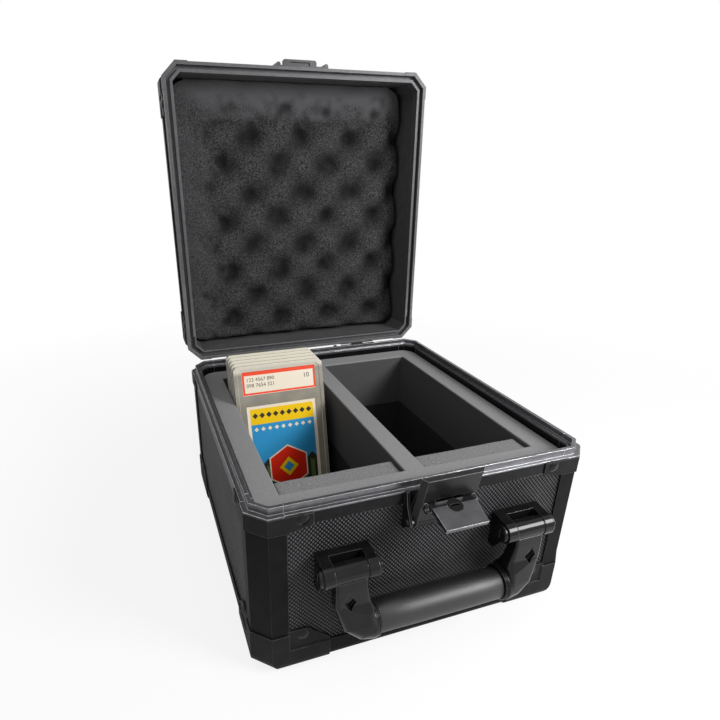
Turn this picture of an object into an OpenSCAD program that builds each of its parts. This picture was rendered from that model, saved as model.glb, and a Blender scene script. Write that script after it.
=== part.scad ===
// Two-compartment display case for graded trading cards, shown open with five cards inside.
// Millimetres. X to the right, Y to the back, Z up. The origin is on the ground under the middle.

/* [Case] */
// Outside width
case_w = 250; // [240:1:280]
// Outside depth, front to back
case_d = 264; // [255:1:300]
// Height from the ground to the flat of the body's rim
body_h = 129; // [126:1:150]
// Height of the closed lid above that flat
lid_h = 54; // [52:1:66]
// Leg of the chamfer down each upright corner
corner_c = 11.6; // [10:0.1:13]
// Rounding of the long lower and upper edges
edge_r = 8; // [6:0.5:9]
// Rounding of the caps under each chamfered corner
corner_r = 13; // [11:0.5:16]

/* [Panels and extrusions] */
// Wall of the aluminium extrusions
skin_t = 1.2; // [0.8:0.1:1.5]
// Thickness of the side, floor and top panels
panel_t = 5.5; // [4:0.5:6]
// Height of the extrusions along the long edges
edge_h = 18; // [15:1:22]
// Thickness of the leg under the floor panel
leg_t = 2; // [1:0.5:3]
// Reach of the ledges that hold the floor panel, in from the outside
ledge_w = 10; // [8:0.5:10]
// How far in from the outside the floor panel starts
floor_in = 6; // [5:0.5:7]
// Reach of each corner post's strips along the faces
strip_w = 23.3; // [19:0.1:26]
// Reach of each corner post's solid core
core_w = 13; // [11:0.5:14]

/* [Rims] */
// Depth of the rim's skirts over the panels
skirt_h = 9.5; // [7:0.5:12]
// Thickness of the rim's flat
web_t = 1; // [0.8:0.1:1.4]
// How far in the sealing tongue starts
tongue_in = 2.9; // [2.5:0.1:3.2]
// Width of the tongue
tongue_w = 2.6; // [2:0.1:3]
// Height of the tongue above the flat
tongue_h = 5; // [3:0.5:6]
// Height of the rim's inner lip above the flat
lip_h = 1; // [0.6:0.1:1.5]
// Gap between the closed rims
rim_gap = 0.3; // [0.2:0.05:0.5]
// Reach of the cast pieces at the rim's corners
rim_corner_w = 22; // [18:0.5:26]
// How far those pieces stand proud of the rim
rim_corner_t = 0.6; // [0.3:0.1:0.9]

/* [Corner caps] */
// Thickness of the caps
cap_t = 1; // [0.8:0.1:1.4]
// Height of a cap up its corner
cap_h = 33; // [28:1:34]
// Reach of the lower caps along the faces
cap_reach = 52; // [46:1:60]
// Reach of the lid caps along the faces
lid_cap_reach = 40; // [38:1:46]
// Reach of the caps across the bottom
cap_under = 20; // [14:1:26]
// Height of the lower caps' wings
wing_h = 35.4; // [33:0.2:38]
// Height of the lid caps' wings
lid_wing_h = 37.5; // [35:0.5:40]
// How far the wings stand proud of the extrusions
wing_proud = 0.2; // [0.1:0.1:0.5]
// Reach of the upper caps along the body's faces
top_cap_reach = 40; // [36:1:50]
// Depth of the upper caps at the corner
top_cap_h = 13; // [11:0.5:16]
// Diameter of the rivet heads
rivet_d = 8.5; // [6:0.5:9]
// Height of the rivet heads
rivet_h = 1.5; // [1:0.1:2]
// Distance of the body's rivets from its corners
rivet_in = 33; // [30:0.5:34]
// Distance of the lower rivets below the top of the wings
rivet_down = 5; // [4.5:0.1:6]
// Distance of the lid's rivets from its corners
lid_rivet_in = 30.6; // [29:0.2:32]
// Distance of the lid's rivets from the edge of its wings
lid_rivet_down = 5.5; // [4.5:0.1:7]
// Diameter of the small rivet heads on the fittings
small_rivet_d = 4.6; // [3.6:0.1:5]
// Height of those heads
small_rivet_h = 1; // [0.6:0.1:1.2]

/* [Foam] */
// Clearance round the soft pieces
soft_gap = 0.4; // [0.3:0.1:0.6]
// Thickness of the floor pad
pad_t = 13.4; // [8:0.2:18]
// How far the insert lies below the rim's flat
foam_drop = 6; // [4:0.5:10]
// Rounding of the insert's upright corners
foam_r = 14; // [12:0.5:18]
// Width of each compartment
bay_w = 90.5; // [84:0.5:92]
// Width of the divider between them
divider_w = 15.5; // [12:0.5:20]
// Thickness of the insert's front wall
wall_front = 22; // [16:0.5:26]
// Thickness of the insert's back wall
wall_back = 19; // [14:0.5:24]
// Depth of the loose spacer blocks
spacer_d = 19; // [12:0.5:24]
// How far the spacers lie below the insert
spacer_drop = 3; // [1:0.5:6]
// Height of the egg-crate's peaks above the lid's top panel
crate_t = 15.7; // [12:0.1:18]
// Depth of its hollows
crate_dip = 9; // [5:0.5:11]
// Distance between its hollows across the lid
crate_pitch_x = 53; // [44:1:62]
// Distance between its hollows along the lid's depth
crate_pitch_y = 51.4; // [44:0.2:62]
// Distance of one hollow to the right of the middle
crate_from_x = 6.7; // [0:0.1:26]
// Distance of that hollow in front of the middle
crate_from_y = 25.3; // [0:0.1:26]
// Margin round the egg-crate foam
crate_in = 10.4; // [10.3:0.1:18]
// Thickness of the lid's liner
liner_t = 1; // [0.6:0.1:1.4]

/* [Graded cards] */
// Width of a slab
slab_w = 81; // [76:0.5:82]
// Height of a slab
slab_h = 135; // [126:0.5:136]
// Thickness of a slab
slab_t = 7.4; // [5:0.2:7.4]
// Distance from one slab to the next
slab_pitch = 7.7; // [7.7:0.1:9.4]
// Lean of the slabs towards the back
slab_lean = 14.5; // [10:0.5:16]
// Distance of the slabs from their bay's outer wall
slab_side = 0.5; // [0.4:0.1:5]
// Distance of the front slab's foot from the bay's back wall
slab_back = 92.2; // [88:0.2:100]
// Width and depth of the slab's raised border
slab_rim = 3; // [2:0.2:4]
// Depth of the recess inside that border
slab_dish = 0.6; // [0.3:0.1:0.8]
// Chamfer of a slab's corners
slab_c = 3; // [1:0.5:5]
// Width of a card
card_w = 63.5; // [60:0.5:66]
// Height of a card
card_h = 88.9; // [84:0.1:90]
// Thickness of a card and of its label
card_t = 0.6; // [0.4:0.1:1]
// Width of the label
label_w = 66.7; // [60:0.1:70]
// Height of the label
label_h = 20.6; // [16:0.1:24]
// Distance from the slab's top to the label
label_top = 5; // [4:0.1:7]
// Distance from the slab's top to the card
card_top = 36; // [33:0.5:40]

/* [Hinges] */
// Distance of the hinge axis behind the case
hinge_out = 4.4; // [4:0.1:5.5]
// Distance of the hinge axis below the rim's flat
hinge_down = 0.6; // [0.3:0.1:1]
// Angle of the open lid
lid_open = 91.9; // [90:0.1:100]
// Gap between each hinge and the caps beside it
hinge_gap = 7; // [4:0.5:12]
// Width of a hinge
hinge_w = 38.5; // [30:0.5:44]
// Height of a hinge leaf
leaf_h = 28; // [26:1:30]
// Distance of a leaf's rivets from its end
leaf_rivet_in = 6; // [5:0.5:8]
// Thickness of sheet metal fittings
sheet_t = 1.5; // [1.2:0.1:1.8]
// Radius of the hinge knuckles
knuckle_r = 3.2; // [2.6:0.1:3.4]
// Radius of the hinge pins
hinge_pin_r = 1.25; // [1:0.05:1.5]
// Thickness of the stop beside each hinge
stop_t = 2; // [1.5:0.1:3]
// Gap between that stop and the hinge
stop_gap = 6.5; // [5:0.5:8]

/* [Latch] */
// Distance of the hook plate's pivot in front of the case
hook_out = 6.5; // [6.2:0.1:7.5]
// Distance of that pivot below the rim's flat
hook_down = 19.5; // [19:0.5:21]
// Lean of the hook plate as shown
hook_lean = 14.5; // [12:0.5:20]
// Width of the hook plate
hook_w = 44; // [42:0.5:46]
// Height of the hook plate above its pivot
hook_h = 38.5; // [37.5:0.1:40]
// Distance of the hook plate's front from its pivot
hook_front = 2.7; // [2.4:0.1:3]
// Depth of the hook's lip
lip_d = 3.8; // [3:0.1:4.4]
// Height of the hook's lip
lip_t = 3.2; // [2.4:0.1:3.6]
// Radius of the hook plate's pivot pin
hook_pin_r = 1.5; // [1.2:0.1:1.8]
// Height of the flap's pivot above the hook's
flap_up = 16.4; // [16:0.1:17]
// Distance of the flap's pivot in front of the hook's
flap_out = 5.6; // [5.5:0.1:6.4]
// Angle through which the flap is lifted as shown
flap_lift = 86.4; // [80:0.1:90]
// Width of the flap at its pivot
flap_w = 31.2; // [28:0.2:31.4]
// Width of the flap at its tip
flap_tip_w = 29.2; // [24:0.2:31]
// Length of the flap below its pivot
flap_len = 19.1; // [16:0.1:20]
// Thickness of the flap
flap_t = 3; // [2:0.1:3.2]
// Radius of the flap's pins
flap_pin_r = 1.1; // [0.9:0.1:1.3]
// Radius of the key cylinder
key_r = 5.1; // [4:0.1:5.1]
// Length of the key cylinder
key_len = 10.8; // [8:0.1:11]
// Distance of the key cylinder's axis below the flap's pivot
key_down = 3.1; // [2.9:0.1:3.3]
// Reach of the locking cam from the cylinder's middle
cam_len = 9; // [8:0.1:9]
// Width of the locking cam
cam_w = 4.4; // [3:0.1:5]
// Distance of the flap's outer face from its pivot
flap_face = 4.3; // [4:0.1:4.6]
// Height of the flap above its pivot
flap_over = 2.6; // [2.2:0.1:3]
// Width of the window behind the flap
window_w = 20; // [19.4:0.2:22]
// Lower edge of that window above the hook plate's pivot
window_low = 5.8; // [5.4:0.1:6]
// Height of that window
window_h = 15.2; // [14.8:0.1:16]
// Height of the latch's base
latch_h = 28; // [26:0.5:30]
// Thickness of the flanges that carry the hook plate
flange_t = 1.8; // [1.2:0.1:2]
// Width of the catch on the lid
catch_w = 49.2; // [47:0.2:52]
// Height of the catch's lower edge above the body's rim
catch_low = 3; // [2:0.5:5]
// Height of its upper edge above that rim
catch_high = 22; // [20:0.5:24]
// Radius of its rolled ends
catch_roll_r = 2; // [1.5:0.1:2]
// Width of the catch's shelf
shelf_w = 32.4; // [30:0.2:36]
// Reach of that shelf in front of the case
shelf_d = 7.7; // [7:0.1:8.4]
// Height of the shelf's underside above that rim
shelf_up = 11.5; // [11:0.1:12]
// Thickness of the shelf
shelf_t = 2.5; // [2:0.1:2.8]
// Depth of the slot pressed into the shelf
slot_deep = 1.3; // [0.8:0.1:1.8]
// Width of that slot
slot_w = 19; // [18:0.2:24]

/* [Handle] */
// Distance of each bracket's middle from the case's side
bracket_in = 59.2; // [56:0.2:64]
// Width of the opening in a bracket
bracket_gap = 22.4; // [20:0.2:24]
// Thickness of a bracket's ears
ear_t = 7; // [5:0.5:9]
// Thickness of a bracket's back plate, out from the extrusions
back_t = 5; // [3:0.5:5]
// Distance of the handle's pivot in front of the case
pivot_out = 12.5; // [12.5:0.5:19]
// Distance of that pivot below the rim's flat
pivot_down = 41.5; // [39:0.5:44]
// Radius of the ears' round ends
ear_r = 7.5; // [6:0.5:8.5]
// Distance of a bracket's foot below the pivot
bracket_down = 18; // [14:0.5:22]
// Diameter of the screw heads on the ears
screw_d = 12.5; // [10:0.5:14]
// Height of those heads
screw_h = 2.6; // [1:0.1:3]
// Radius of the handle's pivot pins
grip_pin_r = 2.5; // [2:0.1:3]
// Radius of the arms' knuckles
arm_r = 7; // [5:0.5:7]
// Distance of the grip below the pivot
grip_drop = 42.5; // [40:0.5:46]
// How far the grip hangs in front of the pivot
grip_out = 1; // [0.8:0.1:3]
// How far each arm's socket reaches in from its bracket's middle
socket_in = 15.75; // [14:0.25:18]
// Radius of the grip
grip_r = 11.2; // [8.5:0.1:11.5]
// Radius of the arms' sockets
socket_r = 12.8; // [12.5:0.1:13.2]
// Radius of the bar inside the grip
bar_r = 5; // [3:0.1:6]
// Width of each ring beside the grip
collar_w = 2.6; // [2:0.1:4]

/* [Clearances] */
// Clearance between fixed pieces that fit into each other
fit = 0.1; // [0.05:0.01:0.15]
// Radial clearance of a pin in its bore
run_fit = 0.05; // [0.02:0.01:0.09]
// Gap between pieces that move past each other
side_gap = 0.3; // [0.2:0.05:0.4]

/* [Hidden] */
$fn = 64;

// Extra length of a cutting shape past the face that it cuts
past = 1;
// Panels, counted in from the outside of the extrusions
panel_s = skin_t + fit;
panel_in = panel_s + panel_t;
rim_w = panel_in + 2 * fit + skin_t;
front_y = -case_d / 2;
back_y = case_d / 2;
// Levels of the floor, counted up from the ground
edge_top = cap_t + edge_h;
floor_z = cap_t + leg_t;
ledge_z = floor_z + panel_t + fit;
ledge_top = ledge_z + skin_t;
panel_top = body_h - web_t - fit;
pad_z = floor_z + panel_t + fit;
pad_top = pad_z + pad_t;
foam_z = pad_top + soft_gap;
foam_top = body_h - foam_drop;
foam_in = rim_w + soft_gap;
// The bays
bay_front = front_y + foam_in + wall_front - soft_gap;
bay_back = back_y - foam_in - wall_back + soft_gap;
bay_mid = (divider_w + bay_w) / 2;
// Levels of the lid's rim, closed
lid_flat = body_h + rim_gap;
groove_top = body_h + tongue_h + rim_gap;
lid_web_top = groove_top + skin_t;
lid_skirt_top = lid_flat + skirt_h;
lid_top = body_h + lid_h;
// Axes
hinge_y = back_y + hinge_out;
hinge_z = body_h - hinge_down;
hook_y = front_y - hook_out;
hook_z = body_h - hook_down;
pivot_y = front_y - pivot_out;
pivot_z = body_h - pivot_down;
grip_y = pivot_y - grip_out;
// Inner end of each hinge, middle of each bracket and length of the grip between the arms
hinge_x = case_w / 2 - max(top_cap_reach, lid_cap_reach) - hinge_gap - hinge_w;
bracket_x = case_w / 2 - bracket_in;
grip_len = 2 * (bracket_x - socket_in - collar_w - 2 * fit);
// Colours
black = "#2b2b2c";
charcoal = "#3a3a3b";
gloss = "#161616";
steel = "#77797b";
grey_foam = "#6f6f70";

// Plan outline of the case, s inside its outer faces
module plan(s) {
    x = case_w / 2 - s;
    y = case_d / 2 - s;
    c = corner_c - s * (2 - sqrt(2));
    polygon([[c - x, -y], [x - c, -y], [x, c - y], [x, y - c],
        [x - c, y], [c - x, y], [-x, y - c], [-x, c - y]]);
}

// Band of the plan between two insets and two levels
module ring(s0, s1, z0, z1) {
    translate([0, 0, z0])
        linear_extrude(z1 - z0)
            difference() {
                plan(s0);
                plan(s1);
            }
}

// The four corner squares of the plan, each reaching w along both faces
module corner_squares(w) {
    for (x = [-1, 1], y = [-1, 1])
        translate([x * case_w / 2, y * case_d / 2])
            square(2 * w, center = true);
}

// Keeps what lies in the corner squares
module only_corners(w, h) {
    intersection() {
        children();
        translate([0, 0, -past])
            linear_extrude(h)
                corner_squares(w);
    }
}

// Removes what lies in the corner squares
module without_corners(w, h) {
    difference() {
        children();
        translate([0, 0, -past])
            linear_extrude(h)
                corner_squares(w);
    }
}

// Repeats a piece drawn at the right back corner, whose outer corner is the local origin
module at_corners() {
    for (m = [0, 1], n = [0, 1])
        mirror([m, 0, 0])
            mirror([0, n, 0])
                translate([case_w / 2, case_d / 2, 0])
                    children();
}

// Draws a piece on both faces of a corner
module on_both_faces() {
    children();
    mirror([1, -1, 0])
        children();
}

// Carries what is drawn upside down, from the lid's top, to the closed lid
module in_lid() {
    translate([0, 0, lid_top])
        mirror([0, 0, 1])
            children();
}

// Turns the closed lid to its open rest
module open_lid() {
    translate([0, hinge_y, hinge_z])
        rotate([-lid_open, 0, 0])
            translate([0, -hinge_y, -hinge_z])
                children();
}

// Upright profile with round lower edges
module tub(half, r, h) {
    translate([-half, r])
        square([2 * half, h - r]);
    translate([r - half, 0])
        square([2 * (half - r), h]);
    for (x = [r - half, half - r])
        translate([x, r])
            circle(r);
}

// The case's lower body as a solid, s inside its faces, from level z0 up by h
module tub_block(s, z0, h) {
    r = edge_r - s;
    diagonal = (case_w / 2 + case_d / 2 - corner_c) / sqrt(2) - s;
    translate([0, 0, z0])
        intersection() {
            linear_extrude(h)
                plan(s);
            rotate([90, 0, 0])
                linear_extrude(case_d * 2, center = true)
                    tub(case_w / 2 - s, r, h + past);
            rotate([90, 0, 90])
                linear_extrude(case_w * 2, center = true)
                    tub(case_d / 2 - s, r, h + past);
            rotate([90, 0, 45])
                linear_extrude(case_d * 2, center = true)
                    tub(diagonal, corner_r - cap_t - s, h + past);
            rotate([90, 0, -45])
                linear_extrude(case_d * 2, center = true)
                    tub(diagonal, corner_r - cap_t - s, h + past);
        }
}

// A domed rivet head standing on the XY plane
module rivet(d, h) {
    r = (d * d / 4 + h * h) / (2 * h);
    intersection() {
        translate([0, 0, h - r])
            sphere(r);
        cylinder(d = d, h = h);
    }
}

// Long edge extrusions with the ledges that hold the floor panel
module edge_bars() {
    color(charcoal)
        without_corners(core_w + fit, edge_top + 2 * past)
            difference() {
                tub_block(0, cap_t, edge_h);
                translate([0, 0, floor_z - fit])
                    linear_extrude(panel_t + 2 * fit)
                        plan(floor_in - fit);
                linear_extrude(edge_top)
                    plan(ledge_w);
                translate([0, 0, ledge_top])
                    linear_extrude(edge_h)
                        plan(skin_t);
            }
}

// Flat panel held by the ledges
module flat_panel() {
    color(black)
        translate([0, 0, floor_z])
            linear_extrude(panel_t)
                plan(floor_in);
}

// Side panel from the ledge up to level z1, on the front or the back
module wide_panel(side, z1) {
    w = case_w - 2 * (core_w + fit);
    y = side * (case_d / 2 - panel_s - panel_t / 2);
    color(charcoal)
        translate([-w / 2, y - panel_t / 2, ledge_top + fit])
            cube([w, panel_t, z1 - ledge_top - fit]);
}

// Side panel from the ledge up to level z1, on the left or the right
module deep_panel(side, z1) {
    d = case_d - 2 * (core_w + fit);
    x = side * (case_w / 2 - panel_s - panel_t / 2);
    color(charcoal)
        translate([x - panel_t / 2, -d / 2, ledge_top + fit])
            cube([panel_t, d, z1 - ledge_top - fit]);
}

// Corner posts: strips up to level z1 and cores up to level z2
module posts(z1, z2) {
    color(black) {
        only_corners(strip_w, z1 + 2 * past)
            ring(0, skin_t, edge_top, z1);
        difference() {
            intersection() {
                tub_block(0, cap_t, z2);
                only_corners(core_w, z2 + 2 * past)
                    union() {
                        ring(0, panel_in, cap_t, z1);
                        ring(panel_s, panel_in, cap_t, z2);
                    }
            }
            translate([0, 0, floor_z - fit])
                linear_extrude(panel_t + 2 * fit)
                    plan(floor_in - fit);
        }
    }
}

// Outline of a cap's wing, drawn along the face from the corner
module wing_outline(from_u, from_z, reach, top, slope) {
    polygon([[from_u, from_z], [reach, from_z], [reach, top - slope[1]],
        [reach - slope[0], top], [from_u, top]]);
}

// Stands an outline drawn along the face on the face y = 0 of a corner, from s0 in to s1
module on_face(s0, s1) {
    translate([0, -s0, 0])
        rotate([90, 0, 0])
            linear_extrude(s1 - s0)
                mirror([1, 0, 0])
                    children();
}

// Space that a lower corner cap keeps to, about its corner
module cap_zone(reach) {
    translate([-strip_w, -strip_w, -past])
        cube([2 * strip_w, 2 * strip_w, cap_h + 2 * past]);
    translate([-reach, -cap_under, -past])
        cube([2 * reach, 2 * cap_under, edge_top + past]);
    translate([-cap_under, -reach, -past])
        cube([2 * cap_under, 2 * reach, edge_top + past]);
}

// Corner caps over posts and long edges
module caps(reach, top, slope) {
    color(black) {
        intersection() {
            difference() {
                tub_block(-cap_t, 0, cap_h);
                tub_block(0, cap_t, cap_h);
            }
            at_corners()
                cap_zone(reach);
        }
        at_corners()
            on_both_faces() {
                on_face(-wing_proud, panel_s)
                    wing_outline(strip_w + fit, edge_top + fit, reach, top, slope);
                on_face(-wing_proud, 0)
                    wing_outline(strip_w - past, edge_top - past, reach, top, slope);
            }
    }
}

// Rivet heads on both faces of every corner, at distance u from the corner and level z
module corner_rivets(u, z, proud) {
    color(gloss)
        at_corners()
            on_both_faces()
                translate([-u, proud, z])
                    rotate([-90, 0, 0])
                        rivet(rivet_d, rivet_h);
}

// Floor board whose middle stands down flush with the corner caps
module floor_panel() {
    inset = max(cap_under, strip_w) + fit;
    flat_panel();
    color(black)
        linear_extrude(floor_z + fit)
            square([case_w - 2 * inset, case_d - 2 * inset], center = true);
}

module front_panel() {
    wide_panel(-1, panel_top);
}

module back_panel() {
    wide_panel(1, panel_top);
}

module left_panel() {
    deep_panel(-1, panel_top);
}

module right_panel() {
    deep_panel(1, panel_top);
}

module corner_posts() {
    posts(body_h - skirt_h - fit, panel_top);
}

module base_edges() {
    edge_bars();
}

// Rim section: outer skirt, flat, sealing tongue, inner lip and inner skirt
module rim_rings() {
    low = body_h - skirt_h;
    web = body_h - web_t;
    tongue_out = tongue_in + tongue_w;
    ring(0, skin_t, low, body_h);
    ring(0, rim_w, web, body_h);
    ring(tongue_in, tongue_out, web, body_h + tongue_h);
    ring(tongue_out, rim_w, web, body_h + lip_h);
    ring(rim_w - skin_t, rim_w, low, body_h);
}

module body_rim() {
    color(steel)
        without_corners(rim_corner_w + fit, lid_top)
            rim_rings();
}

module body_rim_corners() {
    color(steel)
        only_corners(rim_corner_w, lid_top)
            union() {
                rim_rings();
                ring(-rim_corner_t, 0, body_h - web_t, body_h);
            }
}

module top_caps() {
    low = body_h - top_cap_h;
    high = body_h - web_t - fit;
    slope_h = top_cap_h - skirt_h;
    color(black)
        difference() {
            only_corners(top_cap_reach, lid_top)
                ring(-cap_t, 0, low, high);
            at_corners()
                on_both_faces()
                    on_face(-cap_t - past, past)
                        polygon([[strip_w, low - past], [top_cap_reach + past, low - past],
                            [top_cap_reach + past, low + slope_h], [top_cap_reach, low + slope_h],
                            [strip_w, low]]);
        }
}

module base_caps() {
    caps(cap_reach, wing_h, [16, 13.8]);
}

module case_rivets() {
    corner_rivets(rivet_in, body_h - skirt_h / 2, cap_t);
    corner_rivets(rivet_in, wing_h - rivet_down, wing_proud);
}

// Plan of the foam insert with round corners
module foam_plan(s) {
    x = case_w / 2 - s - foam_r;
    y = case_d / 2 - s - foam_r;
    square([2 * (x + foam_r), 2 * y], center = true);
    square([2 * x, 2 * (y + foam_r)], center = true);
    for (a = [-x, x], b = [-y, y])
        translate([a, b])
            circle(foam_r);
}

module foam_insert() {
    color(grey_foam)
        translate([0, 0, foam_z])
            linear_extrude(foam_top - foam_z)
                difference() {
                    foam_plan(foam_in);
                    for (x = [-bay_mid, bay_mid])
                        translate([x - bay_w / 2, bay_front])
                            square([bay_w, bay_back - bay_front]);
                }
}

module floor_pad() {
    color(grey_foam)
        translate([0, 0, pad_z + fit])
            linear_extrude(pad_t - fit)
                foam_plan(ledge_w + soft_gap);
}

// Loose block at the front of a bay
module spacer(side) {
    color(grey_foam)
        translate([side * bay_mid - bay_w / 2 + soft_gap, bay_front + soft_gap, pad_top + soft_gap])
            cube([bay_w - 2 * soft_gap, spacer_d, foam_top - spacer_drop - pad_top - soft_gap]);
}

module left_spacer() {
    spacer(-1);
}

module right_spacer() {
    spacer(1);
}

// Span of each of a hinge's three knuckles
knuckle_w = hinge_w / 3;
// Length of a leaf's arm past its knuckles
arm_l = 3;

// Side view of a leaf's arm: from the plate to the knuckle, drawn as y out and z up from the axis
module arm_outline(dir) {
    difference() {
        union() {
            circle(knuckle_r);
            polygon([[0, dir * knuckle_r], [0, 0], [-knuckle_r, 0],
                [-hinge_out, dir * sheet_t], [-hinge_out, dir * (knuckle_r + arm_l)],
                [sheet_t - hinge_out, dir * (knuckle_r + arm_l)]]);
        }
        circle(dir > 0 ? hinge_pin_r + run_fit : hinge_pin_r);
    }
}

// Extrudes a side view, y out and z up, along x from x0 by w, about an axis at y and z
module along_x(x0, w, y, z) {
    translate([x0, y, z])
        rotate([90, 0, 90])
            linear_extrude(w)
                children();
}

// Repeats a piece on the right and on the left
module both_sides() {
    children();
    mirror([1, 0, 0])
        children();
}

// Plate of a leaf: thin over the rim's skirt, thicker over the recessed panel
module leaf_plate(x0, w, z_rim, z_panel, z_end) {
    low = min(z_rim, z_panel);
    translate([x0, back_y, low])
        cube([w, sheet_t, abs(z_panel - z_rim)]);
    foot = min(z_panel, z_end);
    translate([x0, back_y - panel_s, foot])
        cube([w, sheet_t + panel_s, abs(z_end - z_panel)]);
    seam = min(z_rim, z_end);
    translate([x0, back_y, seam])
        cube([w, sheet_t, abs(z_end - z_rim)]);
}

module hinge_body_leaves() {
    skirt = body_h - skirt_h - fit;
    stop_x = hinge_x - stop_gap - stop_t;
    stop_r = hinge_out - side_gap;
    color(black)
        both_sides() {
            leaf_plate(hinge_x, hinge_w, hinge_z - knuckle_r, skirt, body_h - leaf_h);
            translate([stop_x, back_y - panel_s, body_h - leaf_h])
                cube([stop_gap + stop_t + past, sheet_t + panel_s, leaf_h / 2]);
            for (x = [hinge_x, hinge_x + 2 * knuckle_w])
                along_x(x, knuckle_w, hinge_y, hinge_z)
                    arm_outline(-1);
            along_x(stop_x, stop_t, hinge_y, hinge_z)
                union() {
                    circle(stop_r);
                    translate([fit - hinge_out, -leaf_h * 0.6])
                        square([2 * sheet_t, leaf_h * 0.6]);
                }
        }
}

module hinge_pins() {
    color(steel)
        both_sides()
            translate([hinge_x, hinge_y, hinge_z])
                rotate([0, 90, 0])
                    cylinder(r = hinge_pin_r, h = hinge_w);
}

// Rivet heads on a hinge leaf at level z
module leaf_rivets(z) {
    color(gloss)
        both_sides()
            for (i = [0 : 2])
                translate([hinge_x + knuckle_w * (i + 0.5), back_y + sheet_t, z])
                    rotate([-90, 0, 0])
                        rivet(small_rivet_d, small_rivet_h);
}

module hinge_body_rivets() {
    leaf_rivets(body_h - leaf_h + leaf_rivet_in);
}

// Width of the latch's base, whose flanges stand close beside the hook plate
latch_w = hook_w + 2 * (side_gap + flange_t);

// Latch base: plate on the rim and panel with two flanges that carry the pivot
module latch_base() {
    flange_r = 3.6;
    nose = 3.2;
    skirt = body_h - skirt_h - fit;
    low = body_h - latch_h;
    high = body_h + web_t - side_gap;
    color(black)
        difference() {
            union() {
                translate([-latch_w / 2, front_y - sheet_t, low])
                    cube([latch_w, sheet_t, high - low]);
                translate([-latch_w / 2, front_y - sheet_t, low])
                    cube([latch_w, sheet_t + panel_s, skirt - low]);
                for (x = [-latch_w / 2, latch_w / 2 - flange_t])
                    along_x(x, flange_t, hook_y, hook_z)
                        union() {
                            circle(flange_r);
                            polygon([[hook_out, high - hook_z], [hook_out / 2, high - hook_z],
                                [hook_out * 0.3, hook_down * 0.6], [-nose, nose / 2],
                                [-nose, -nose / 2], [0, -flange_r],
                                [hook_out - sheet_t, low - hook_z], [hook_out, low - hook_z]]);
                        }
            }
            translate([0, hook_y, hook_z])
                rotate([0, 90, 0])
                    cylinder(r = hook_pin_r, h = 2 * latch_w, center = true);
        }
}

module latch_pin() {
    color(steel)
        translate([0, hook_y, hook_z])
            rotate([0, 90, 0])
                cylinder(r = hook_pin_r, h = latch_w, center = true);
}

module latch_rivets() {
    edge = 4;
    color(gloss)
        both_sides()
            for (z = [body_h - edge, body_h - latch_h + edge])
                translate([latch_w * 0.28, front_y - sheet_t, z])
                    rotate([90, 0, 0])
                        rivet(small_rivet_d, small_rivet_h);
}

// Carries what is drawn about the hook's pivot, closed, to the photographed lean
module on_hook() {
    translate([0, hook_y, hook_z])
        rotate([hook_lean, 0, 0])
            children();
}

// Carries what is drawn about the flap's pivot, closed, to the photographed lift
module on_flap() {
    on_hook()
        translate([0, -flap_out, flap_up])
            rotate([-flap_lift, 0, 0])
                children();
}

// Inner face of each ear that carries the flap's pins, and the ears' thickness and radius
ear_x = flap_w / 2 + side_gap + fit;
lug_ear_t = 2;
lug_ear_r = 2.7;
// Length of a flap pin inside the flap
flap_pin_in = 4.6;

// Width of the bevel between the hook plate's front and each cheek
splay_w = 3;
// Radius of the cheeks round the pivot
cheek_r = 4;

// Plan of the pressed hook plate, s inside its outside: a front between splayed cheeks
module hook_plan(s) {
    x = hook_w / 2;
    splay_d = 3.2;
    back = cheek_r + s;
    polygon([[s - x, back], [s - x, splay_d - hook_front + s / 2],
        [splay_w - x + s / 2, s - hook_front], [x - splay_w - s / 2, s - hook_front],
        [x - s, splay_d - hook_front + s / 2], [x - s, back]]);
}

module hook_plate() {
    plate_t = skin_t;
    barrel_r = 3.5;
    barrel_w = hook_w - 2 * splay_w;
    cheek_z = hook_h * 0.72;
    lip_back = lip_d - hook_front;
    color(black)
        on_hook()
            difference() {
                union() {
                    intersection() {
                        translate([0, 0, -cheek_r])
                            linear_extrude(hook_h + cheek_r)
                                difference() {
                                    hook_plan(0);
                                    hook_plan(plate_t);
                                }
                        along_x(-hook_w / 2, hook_w, 0, 0)
                            union() {
                                circle(cheek_r);
                                polygon([[-hook_front, 0], [cheek_r, 0], [cheek_r, hook_h / 3],
                                    [lip_back, cheek_z], [lip_back, hook_h], [-hook_front, hook_h]]);
                            }
                    }
                    intersection() {
                        translate([0, 0, hook_h - lip_t])
                            linear_extrude(lip_t)
                                hook_plan(0);
                        translate([-hook_w / 2, -hook_front, 0])
                            cube([hook_w, lip_d, hook_h]);
                    }
                    translate([-barrel_w / 2, 0, 0])
                        rotate([0, 90, 0])
                            cylinder(r = barrel_r, h = barrel_w);
                    both_sides()
                        along_x(ear_x, lug_ear_t, -flap_out, flap_up)
                            union() {
                                circle(lug_ear_r);
                                translate([0, -lug_ear_r])
                                    square([flap_out - hook_front + fit, 2 * lug_ear_r]);
                            }
                }
                translate([-window_w / 2, -hook_front - past, window_low])
                    cube([window_w, plate_t + 2 * past, window_h]);
                rotate([0, 90, 0])
                    cylinder(r = hook_pin_r + run_fit, h = 2 * hook_w, center = true);
                translate([0, -flap_out, flap_up])
                    rotate([0, 90, 0])
                        cylinder(r = flap_pin_r, h = 2 * hook_w, center = true);
            }
}

module flap_pins() {
    color(steel)
        both_sides()
            on_hook()
                translate([flap_w / 2 - flap_pin_in, -flap_out, flap_up])
                    rotate([0, 90, 0])
                        cylinder(r = flap_pin_r,
                            h = ear_x + lug_ear_t + side_gap - flap_w / 2 + flap_pin_in);
}

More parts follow.
